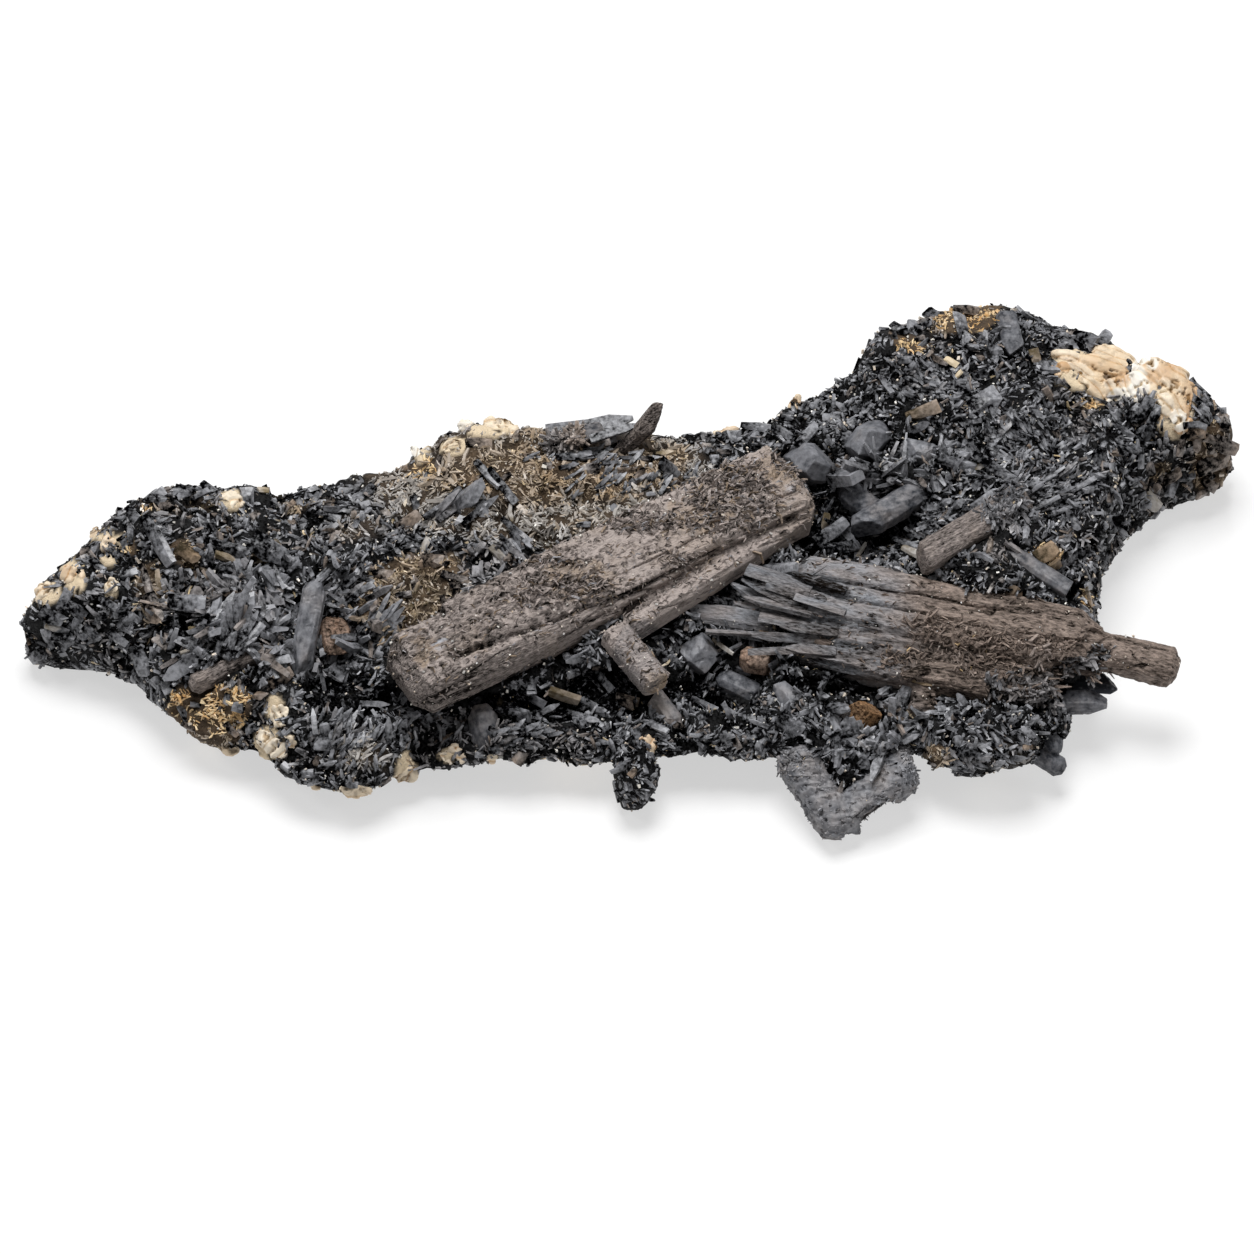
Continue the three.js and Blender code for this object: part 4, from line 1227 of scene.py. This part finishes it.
def lay_blades(name, form, mesh, blades, light, stain, material, slot):
    """Lays blades on a mesh or, where it is missed, on the ground."""
    tree = tree_of(mesh)
    normal = unit(np.array([0, 0, 1]) + 0.3 * TO_CAMERA)
    rows = []
    for u0, v0, u1, v1, width in blades:
        place = seen_on(tree, u0, v0)[0] or seen_on(GROUND, u0, v0)[0]
        if place is None:
            continue
        along, length = drawn_between(u0, v0, u1, v1, normal)
        up = normal + 0.5 * random.normal(size=3)
        shares = (light + 0.18 * random.normal(), stain, 0)
        rows.append((np.array(place) + 0.1 * normal, along, up, (length, width, 0.35 * width), shares))
    joined(name, form, columns(rows), material, slot, LAID_ROOT_SHADE)


# After the blades: lightness and stain.
lay_blades("bundle_fan", SHARDS[2], bundle, FAN[::2], 0.5, 1, FIBROUS, "brown_prism")
lay_blades("bundle_fan_points", LATH, bundle, FAN[1::2], 0.42, 1, FIBROUS, "brown_prism")
lay_blades("bundle_laths", SHARDS[0], bundle, BUNDLE_LATHS, 0.5, 0, FIBROUS, "brown_prism")
lay_blades("lying_blade_layers", LATH, lying_blade, OVER_BLADE, 0.55, 0, CRUST, "grey_crystal")

# Single laths and plates of the crust that stand out. Picture pixels of both ends, width in mm, and a
# letter for the kind: g grey, p pale, d dark, b brown, o ochre, t tan, w nearly white.
KINDS = {"g": (0.55, 0, 0), "p": (0.85, 0, 0.15), "d": (0.2, 0, 0), "b": (0.35, 0.8, 0), "o": (0.55, 1, 0.05),
         "t": (0.55, 0.6, 0.15), "w": (1, 0, 0.6)}
LATHS = [
    (147, 516, 173, 566, 1.6, "g"), (176, 548, 197, 562, 1.4, "o"), (208, 546, 250, 556, 2.0, "d"),
    (214, 557, 239, 562, 1.1, "t"), (250, 540, 284, 562, 2.4, "d"), (274, 540, 284, 556, 0.8, "o"),
    (142, 566, 152, 600, 0.9, "b"), (148, 596, 160, 625, 1.9, "b"), (168, 604, 206, 606, 2.0, "g"),
    (190, 585, 236, 592, 0.7, "g"), (215, 570, 245, 585, 0.6, "g"), (222, 604, 256, 600, 1.6, "g"),
    (236, 585, 262, 594, 0.8, "g"), (196, 625, 228, 604, 0.6, "g"), (204, 640, 222, 612, 0.6, "g"),
    (214, 664, 226, 628, 0.7, "g"), (228, 660, 238, 622, 0.7, "g"), (238, 655, 262, 625, 0.8, "g"),
    (252, 640, 290, 618, 0.6, "g"), (240, 610, 276, 622, 0.6, "g"), (268, 640, 296, 612, 0.5, "g"),
    (180, 655, 214, 640, 0.5, "p"), (256, 610, 262, 640, 0.5, "g"), (272, 566, 286, 590, 0.6, "g"),
    (262, 575, 276, 600, 0.6, "g"), (285, 575, 300, 560, 0.5, "g"), (180, 640, 205, 655, 0.5, "g"),
    (262, 668, 290, 660, 1.0, "g"), (268, 686, 292, 672, 1.4, "b"), (280, 640, 292, 664, 0.5, "g"),
    (318, 664, 322, 690, 0.5, "g"), (136, 650, 150, 676, 2.0, "g"), (352, 648, 384, 614, 0.9, "p"),
    (340, 668, 362, 640, 0.7, "g"), (360, 640, 392, 600, 0.7, "g"), (372, 652, 396, 628, 0.8, "g"),
    (150, 497, 165, 505, 1.2, "d"), (175, 490, 205, 497, 1.0, "d"), (200, 486, 214, 496, 1.2, "d"),
    (128, 510, 140, 522, 1.2, "d"), (40, 610, 62, 622, 1.6, "d"), (66, 604, 84, 618, 1.2, "d"),
    (52, 634, 80, 640, 1.2, "d"), (84, 625, 100, 640, 1.0, "d"), (100, 600, 120, 612, 0.9, "d"),
    (120, 580, 138, 572, 0.9, "g"), (110, 630, 128, 644, 1.0, "g"), (92, 560, 104, 572, 0.8, "d"),
    (46, 622, 60, 628, 0.9, "p"), (434, 528, 490, 487, 2.6, "g"), (474, 464, 500, 490, 1.1, "g"),
    (488, 470, 516, 505, 0.9, "d"), (500, 520, 530, 545, 0.8, "g"), (492, 545, 508, 562, 0.9, "p"),
    (422, 556, 430, 540, 0.8, "p"), (596, 440, 632, 418, 1.2, "p"), (600, 446, 628, 430, 0.9, "p"),
    (585, 432, 612, 420, 1.2, "d"), (560, 432, 596, 422, 1.6, "b"), (546, 452, 575, 449, 1.1, "d"),
    (570, 450, 610, 444, 1.0, "b"), (556, 460, 592, 456, 0.9, "g"), (596, 446, 618, 436, 0.8, "g"),
    (680, 428, 700, 440, 1.4, "d"), (692, 424, 712, 430, 1.2, "d"), (740, 426, 770, 432, 1.2, "g"),
    (770, 428, 790, 440, 1.2, "g"), (549, 688, 579, 698, 1.6, "t"), (614, 700, 637, 706, 1.5, "b"),
    (506, 712, 514, 720, 0.7, "w"), (520, 690, 545, 704, 0.9, "g"), (585, 700, 608, 716, 1.0, "g"),
    (560, 712, 600, 724, 0.8, "g"), (640, 720, 668, 735, 0.9, "g"), (590, 665, 612, 690, 0.8, "d"),
    (745, 681, 755, 690, 0.8, "w"), (706, 600, 768, 612, 0.9, "g"), (726, 592, 776, 606, 0.8, "g"),
    (735, 580, 785, 600, 0.9, "g"), (715, 640, 735, 655, 0.5, "p"), (690, 700, 716, 712, 0.7, "g"),
    (720, 706, 742, 720, 0.6, "g"), (884, 448, 940, 462, 1.9, "g"), (935, 456, 975, 470, 1.2, "g"),
    (797, 450, 818, 426, 1.2, "g"), (814, 545, 846, 524, 1.6, "g"), (820, 553, 858, 548, 1.4, "d"),
    (838, 520, 850, 545, 1.2, "g"), (826, 512, 822, 530, 0.8, "t"), (808, 520, 826, 506, 0.9, "t"),
    (858, 560, 868, 545, 0.5, "p"), (899, 516, 930, 530, 0.5, "g"), (900, 522, 936, 540, 0.5, "g"),
    (905, 530, 930, 546, 0.5, "g"), (895, 540, 925, 552, 0.6, "g"), (905, 548, 925, 560, 0.9, "p"),
    (912, 512, 940, 520, 0.5, "g"), (957, 520, 993, 494, 0.9, "g"), (890, 470, 902, 462, 0.7, "p"),
    (876, 470, 884, 462, 0.6, "p"), (690, 617, 768, 627, 1.2, "g"), (732, 586, 781, 609, 1.0, "g"),
    (739, 582, 776, 596, 0.9, "g"), (755, 573, 799, 570, 1.4, "g"), (734, 599, 771, 622, 0.8, "g"),
    (721, 632, 765, 643, 0.6, "g"), (690, 622, 737, 638, 0.8, "g"), (716, 656, 742, 643, 0.4, "g"),
    (873, 422, 896, 443, 0.9, "t"), (879, 374, 893, 397, 0.7, "g"), (908, 420, 940, 406, 1.5, "o"),
    (972, 412, 1000, 396, 2.6, "g"), (944, 360, 957, 368, 0.8, "w"), (955, 378, 962, 372, 0.5, "w"),
    (1031, 349, 1035, 364, 1.2, "t"), (975, 455, 1015, 484, 1.2, "d"), (985, 450, 1005, 462, 1.0, "d"),
    (979, 470, 988, 468, 0.8, "p"), (862, 468, 872, 474, 0.8, "g"), (893, 468, 905, 476, 0.8, "g"),
    (1000, 598, 1022, 588, 2.0, "o"), (1036, 562, 1056, 550, 2.0, "o"), (1046, 568, 1058, 560, 1.2, "o"),
    (1082, 588, 1088, 608, 0.9, "o"), (1096, 606, 1106, 626, 1.6, "d"), (1098, 594, 1112, 600, 1.2, "d"),
    (1084, 550, 1055, 578, 0.8, "g"), (1078, 334, 1096, 346, 1.6, "d"), (1098, 350, 1110, 334, 1.4, "g"),
    (1139, 490, 1156, 508, 1.6, "p"), (1138, 424, 1152, 398, 1.3, "d"), (1150, 426, 1160, 406, 1.0, "d"),
    (1128, 420, 1140, 408, 1.1, "d"), (1160, 480, 1180, 470, 1.4, "b"), (1195, 470, 1228, 456, 2.0, "b"),
    (1210, 440, 1234, 450, 1.8, "b"), (1200, 480, 1215, 488, 1.2, "b"), (890, 327, 902, 334, 1.3, "d"),
    (928, 312, 938, 320, 1.3, "d"), (952, 309, 978, 314, 1.2, "b"), (998, 500, 1030, 478, 0.6, "g"),
    (1010, 505, 1045, 484, 0.6, "g"), (1030, 492, 1066, 470, 0.6, "g"), (1050, 488, 1090, 468, 0.6, "g"),
    (1060, 500, 1096, 480, 0.6, "g"), (1024, 515, 1060, 498, 0.5, "g"), (1040, 522, 1080, 505, 0.5, "g"),
    (222, 674, 264, 653, 1.9, "b"), (918, 682, 921, 714, 2.2, "b"), (1049, 694, 1080, 700, 1.8, "d"),
    (310, 622, 346, 650, 2.6, "b"),
]
LATH_LIFT = 0.45  # mm above the ground
LATH_THICKNESS = 0.45  # share of the width


def make_laths():
    """The single laths, with one broken form after another."""
    rows = []
    for u0, v0, u1, v1, width, kind in LATHS:
        place, normal, _, _ = seen_on(GROUND, (u0 + u1) / 2, (v0 + v1) / 2)
        if place is None:
            continue
        normal = unit(np.array(normal) + 0.5 * TO_CAMERA)
        along, length = drawn_between(u0, v0, u1, v1, normal)
        at = np.array(place) + LATH_LIFT * normal - along * length / 2
        rows.append((at, along, normal, (length, width, width * LATH_THICKNESS), KINDS[kind]))
    for number, form in enumerate(SHARDS):
        joined(f"crust_laths_{number + 1}", form, columns(rows[number :: len(SHARDS)]), CRUST, "crust")


make_laths()

# Sheaves of blades that lie one way. Centre, half width and half height in picture pixels, their direction
# and its spread in degrees, length and width in mm, count, lightness.
TUFTS = [
    (1045, 488, 56, 22, 32, 30, 1.5, 0.22, 230, 0.5), (930, 535, 30, 22, -25, 20, 1.8, 0.26, 80, 0.5),
    (462, 507, 22, 12, 40, 5, 4.6, 0.7, 12, 0.6), (517, 545, 14, 14, -50, 10, 2.2, 0.45, 16, 0.7),
    (930, 382, 34, 20, -30, 30, 1.5, 0.3, 70, 0.45), (1010, 430, 40, 26, -55, 30, 1.5, 0.28, 90, 0.45),
    (376, 628, 24, 22, 52, 12, 3.4, 0.5, 22, 0.6), (240, 628, 36, 20, 60, 25, 2.6, 0.5, 40, 0.55),
    (345, 590, 40, 22, 35, 18, 2.0, 0.4, 50, 0.55), (345, 735, 44, 30, 60, 28, 1.8, 0.35, 80, 0.6),
    (985, 755, 56, 26, -40, 25, 1.8, 0.35, 80, 0.6), (640, 478, 70, 16, 35, 20, 1.5, 0.28, 70, 0.6),
    (590, 455, 60, 16, 25, 20, 1.5, 0.28, 60, 0.6), (880, 740, 46, 16, 40, 30, 1.5, 0.4, 60, 0.6),
    (520, 730, 50, 16, 10, 25, 1.6, 0.35, 60, 0.5),
]


def make_tufts():
    """The sheaves, without the blades that would stand out past the outline."""
    rows = []
    for u, v, wide, high, angle, spread, length, width, count, light in TUFTS:
        for _ in range(count):
            x, y = np.clip(random.normal(size=2) * 0.5, -1, 1)
            place, normal, _, _ = seen_on(GROUND, u + x * wide, v + y * high)
            if place is None or normal @ Vector(TO_CAMERA) < 0.45:
                continue
            normal = unit(np.array(normal) + 0.35 * TO_CAMERA)
            turn = np.array([math.radians(angle + spread * random.normal())])
            along = tangents(normal[None], turn)[0] + 0.12 * random.normal() * normal
            scale = random.lognormal(0, 0.25)
            at = np.array(place) + random.uniform(0.0, 0.35) * normal - along * length / 2
            sizes = (length * scale, width * scale, 0.6 * width * scale)
            if past_outline(np.array([at + 1.2 * sizes[0] * along])).any():
                continue
            shares = (light + 0.14 * random.normal(), 0.15 if random.random() < 0.2 else 0, 0)
            rows.append((at, along, normal + 0.4 * random.normal(size=3), sizes, shares))
    joined("crust_tufts", LATH, columns(rows), CRUST, "crust")


make_tufts()

# ---- Feldspar --------------------------------------------------------------------------------

# Bodies of cleavage that stand clear of the crust. Centre in the picture, half length and half width in
# pixels, height in mm, direction of the length and of its layers in degrees, stain and whiteness.
ALBITE = [
    (1098, 376, 40, 17, 1.5, -15, 0.5, 0.1), (1160, 388, 36, 22, 1.5, -40, 0.5, 0.15),
    (1175, 410, 26, 14, 1.3, -60, 0.5, 0.15), (1118, 361, 29, 10, 2.1, -32, 0.25, 0.2),
    (1097, 352, 12, 6, 1.7, 40, 0.45, 0.2), (1068, 357, 18, 6, 1.5, -18, 0.4, 0.3),
    (1062, 370, 12, 6, 1.4, 10, 0.6, 0.1), (1083, 372, 20, 5, 2.0, -35, 0.3, 0.3),
    (1101, 373, 24, 6, 2.2, 22, 0.3, 0.35), (1092, 388, 18, 6, 1.9, -38, 0.4, 0.2),
    (1108, 388, 18, 7, 2.2, 30, 0.45, 0.2), (1118, 396, 20, 9, 2.1, -58, 0.45, 0.3),
    (1130, 392, 22, 7, 2.2, -66, 0.4, 0.35), (1141, 380, 24, 7, 4.2, -76, 0.0, 1.0),
    (1150, 370, 15, 5, 3.6, -60, 0.0, 1.0), (1166, 366, 20, 7, 2.1, -18, 0.4, 0.2),
    (1178, 376, 22, 7, 2.1, -30, 0.5, 0.15), (1162, 384, 22, 7, 2.2, -52, 0.4, 0.3),
    (1174, 392, 24, 8, 2.1, -48, 0.4, 0.3), (1190, 392, 18, 6, 1.9, -66, 0.55, 0.1),
    (1168, 408, 20, 8, 2.0, -64, 0.35, 0.4), (1180, 422, 15, 9, 1.8, -62, 0.25, 0.6),
    (1186, 434, 8, 5, 1.4, -75, 0.3, 0.4), (1195, 441, 8, 3, 1.1, -72, 0.5, 0.2),
    (1099, 401, 5, 3, 1.1, 0, 0.3, 0.3), (1109, 404, 5, 4, 1.1, 0, 0.6, 0.1),
    (1116, 408, 4, 3, 1.0, 0, 0.7, 0.1), (1137, 417, 5, 4, 1.0, 0, 0.5, 0.2),
]
CLEAVAGES = [
    (497, 425, 21, 9, 1.0, 5, 0.1, 0.3), (453, 447, 12, 7, 0.9, 35, 0.2, 0.2),
    (420, 450, 8, 10, 1.0, 60, 0.0, 1.0), (466, 424, 8, 6, 0.8, 20, 0.0, 0.8),
    (513, 426, 7, 5, 0.7, 0, 0.2, 0.3), (47, 593, 13, 10, 1.0, 40, 0.2, 0.3),
    (73, 577, 12, 11, 1.0, 60, 0.3, 0.2), (110, 547, 10, 11, 0.9, 40, 0.3, 0.3),
    (95, 533, 8, 6, 0.8, 20, 0.4, 0.2), (112, 588, 9, 7, 0.7, 0, 0.2, 0.3),
    (232, 501, 12, 8, 0.8, 30, 0.2, 0.4), (280, 716, 12, 7, 0.9, -60, 0.1, 0.4),
    (270, 742, 13, 15, 1.1, 45, 0.1, 0.5), (292, 741, 6, 5, 0.7, 0, 0.2, 0.3),
    (225, 750, 15, 5, 0.7, -20, 0.4, 0.2), (356, 793, 17, 5, 0.8, 5, 0.2, 0.3),
    (317, 791, 8, 4, 0.6, -20, 0.3, 0.2), (405, 771, 14, 10, 1.0, 60, 0.2, 0.3),
    (455, 754, 16, 6, 0.8, -8, 0.2, 0.4), (493, 756, 5, 4, 0.6, 0, 0.3, 0.3),
    (648, 745, 11, 8, 0.8, 60, 0.5, 0.2), (795, 403, 8, 6, 0.7, 0, 0.4, 0.2),
    (726, 421, 12, 5, 0.6, 10, 0.3, 0.3),
]
# Patches of the albite, in the picture: its white heart, and where it is sunk and darker.
WHITE_HEART = [
    (1139, 384, 12, 26, 0.95), (1124, 398, 17, 13, 0.9), (1150, 366, 10, 10, 0.7), (1180, 424, 10, 12, 0.7),
]
SUNK_DARK_SPOTS = [(1118, 374, 16, 9, 1.0), (1166, 360, 24, 6, 0.8), (1190, 392, 14, 12, 0.8)]
LAYER = 1.1  # mm between the layers of a cleavage body
TRIED_LIFTS = (0, 3, -3, 6, -6, 9, -9, 12, -12, 16, -16, 22, -22)  # pixels, until the rock is met


def body_basis(row):
    """Where a body stands, and its half axes as rows: along its layers, across them, outwards."""
    u, v, long, wide, height, angle = row[:6]
    for lift in TRIED_LIFTS:
        place, normal, _, _ = seen_on(GROUND, u, v - lift)
        if place:
            break
    normal = unit(np.array(normal) + TO_CAMERA)
    axes = tangents(np.array([normal, normal]), np.radians([angle, angle + 90]))
    shown = np.hypot(axes @ PICTURE_RIGHT, axes @ PICTURE_UP)
    axes = axes * (np.array([long, 1.25 * wide + 2]) / PIXELS_PER_MM / shown)[:, None]
    return np.array(place) - 0.2 * height * normal, np.array([*axes, normal * 0.4 * height]), normal


def melted_bodies(name, bases, voxel):
    """One even net round chipped balls that are stretched to these bases."""
    shape = bmesh.new()
    for number, (place, axes, _) in enumerate(bases):
        body = bmesh.new()
        bmesh.ops.create_icosphere(body, subdivisions=3, radius=1)
        chip(body, random_planes(5, np.random.default_rng(300 + number), 0.35))
        for vert in body.verts:
            vert.co = (place + np.array(vert.co) @ axes) * MM
        piece = bpy.data.meshes.new("body")
        body.to_mesh(piece)
        body.free()
        shape.from_mesh(piece)
        bpy.data.meshes.remove(piece)
    bmesh.ops.recalc_face_normals(shape, faces=shape.faces)
    source = bpy.data.meshes.new(name)
    shape.to_mesh(source)
    shape.free()
    return netted(source, voxel)


def make_feldspar(name, rows, voxel, knobs):
    """knobs is how far lumps and hollows break up the smooth bodies, in mm."""
    bases = [body_basis(row) for row in rows]
    mesh = melted_bodies(name, bases, voxel)
    bodies = [(place, np.linalg.inv(axes), normal) for place, axes, normal in bases]
    points, normals = read(mesh), read(mesh, "normal")
    reach = np.stack([np.linalg.norm((points - place) @ inverse, axis=1) for place, inverse, _ in bodies], 1)
    nearest = reach.argmin(1)
    settings = np.array([row[5:8] for row in rows])[nearest]
    facing = np.array([body[2] for body in bodies])[nearest]
    flow = tangents(facing, np.radians(settings[:, 0]))
    sideways = np.cross(facing, flow)
    bent = warped(points, 0.5, 2.0, (81, 82, 83))
    along, across = (bent * flow).sum(1), (bent * sideways).sum(1)
    layered = np.stack([along / 7, across, 5.0 * nearest], 1)
    layers = 2 * np.abs(np.sin(math.pi / LAYER * (across + 1.3 * noise(layered, 2.4, 84, 2)))) - 1
    fine = noise(np.stack([along / 4, across, 5.0 * nearest], 1), 0.22, 85, 2)
    pitted = smoothstep(0.3, 0.45, noise(points, 0.6, 86, 2))
    dark = within(SUNK_DARK_SPOTS, pixels_of(points), 0) * smoothstep(0.15, 0.4, noise(points, 0.4, 88, 2))
    broken = knobs * (noise(points, 1.3, 95, 3) - 0.8 * smoothstep(0.1, 0.5, noise(points, 0.8, 96, 2)))
    rise = 0.09 * layers + 0.07 * fine - 0.2 * pitted - 0.3 * dark + broken
    write(mesh, points + normals * rise[:, None])
    # Painted shade: the troughs between the layers are painted honey brown and kept from white.
    crevice = smoothstep(-0.3, -0.95, layers)
    heart = 0.9 * within(WHITE_HEART, pixels_of(points), 0.6 * noise(points, 1.6, 94, 3))
    white = np.maximum(settings[:, 2], heart)
    # Painted light and shade: lighter on the crests of the layers, darker in their troughs and in the hollows
    # of the broken relief. Darker also in pits and the sunk dark spots.
    light = 0.95 + 0.22 * layers + 0.25 * fine - 0.6 * pitted - 1.1 * dark + 1.2 * np.minimum(broken, 0)
    stain = settings[:, 1] * (1.3 + 1.8 * noise(points, 1.6, 87, 2)) + 0.8 * crevice * (1 - white)
    paint(mesh, light, stain * (1 - heart) + 0.3 * pitted, 0.95 * white * (1 - crevice) * (1 - pitted))
    finish_piece(mesh, name, FELDSPAR, "feldspar")


make_feldspar("albite_rosette", ALBITE, voxel=0.12, knobs=0.1)
make_feldspar("feldspar_cleavages", CLEAVAGES, voxel=0.13, knobs=0.45)
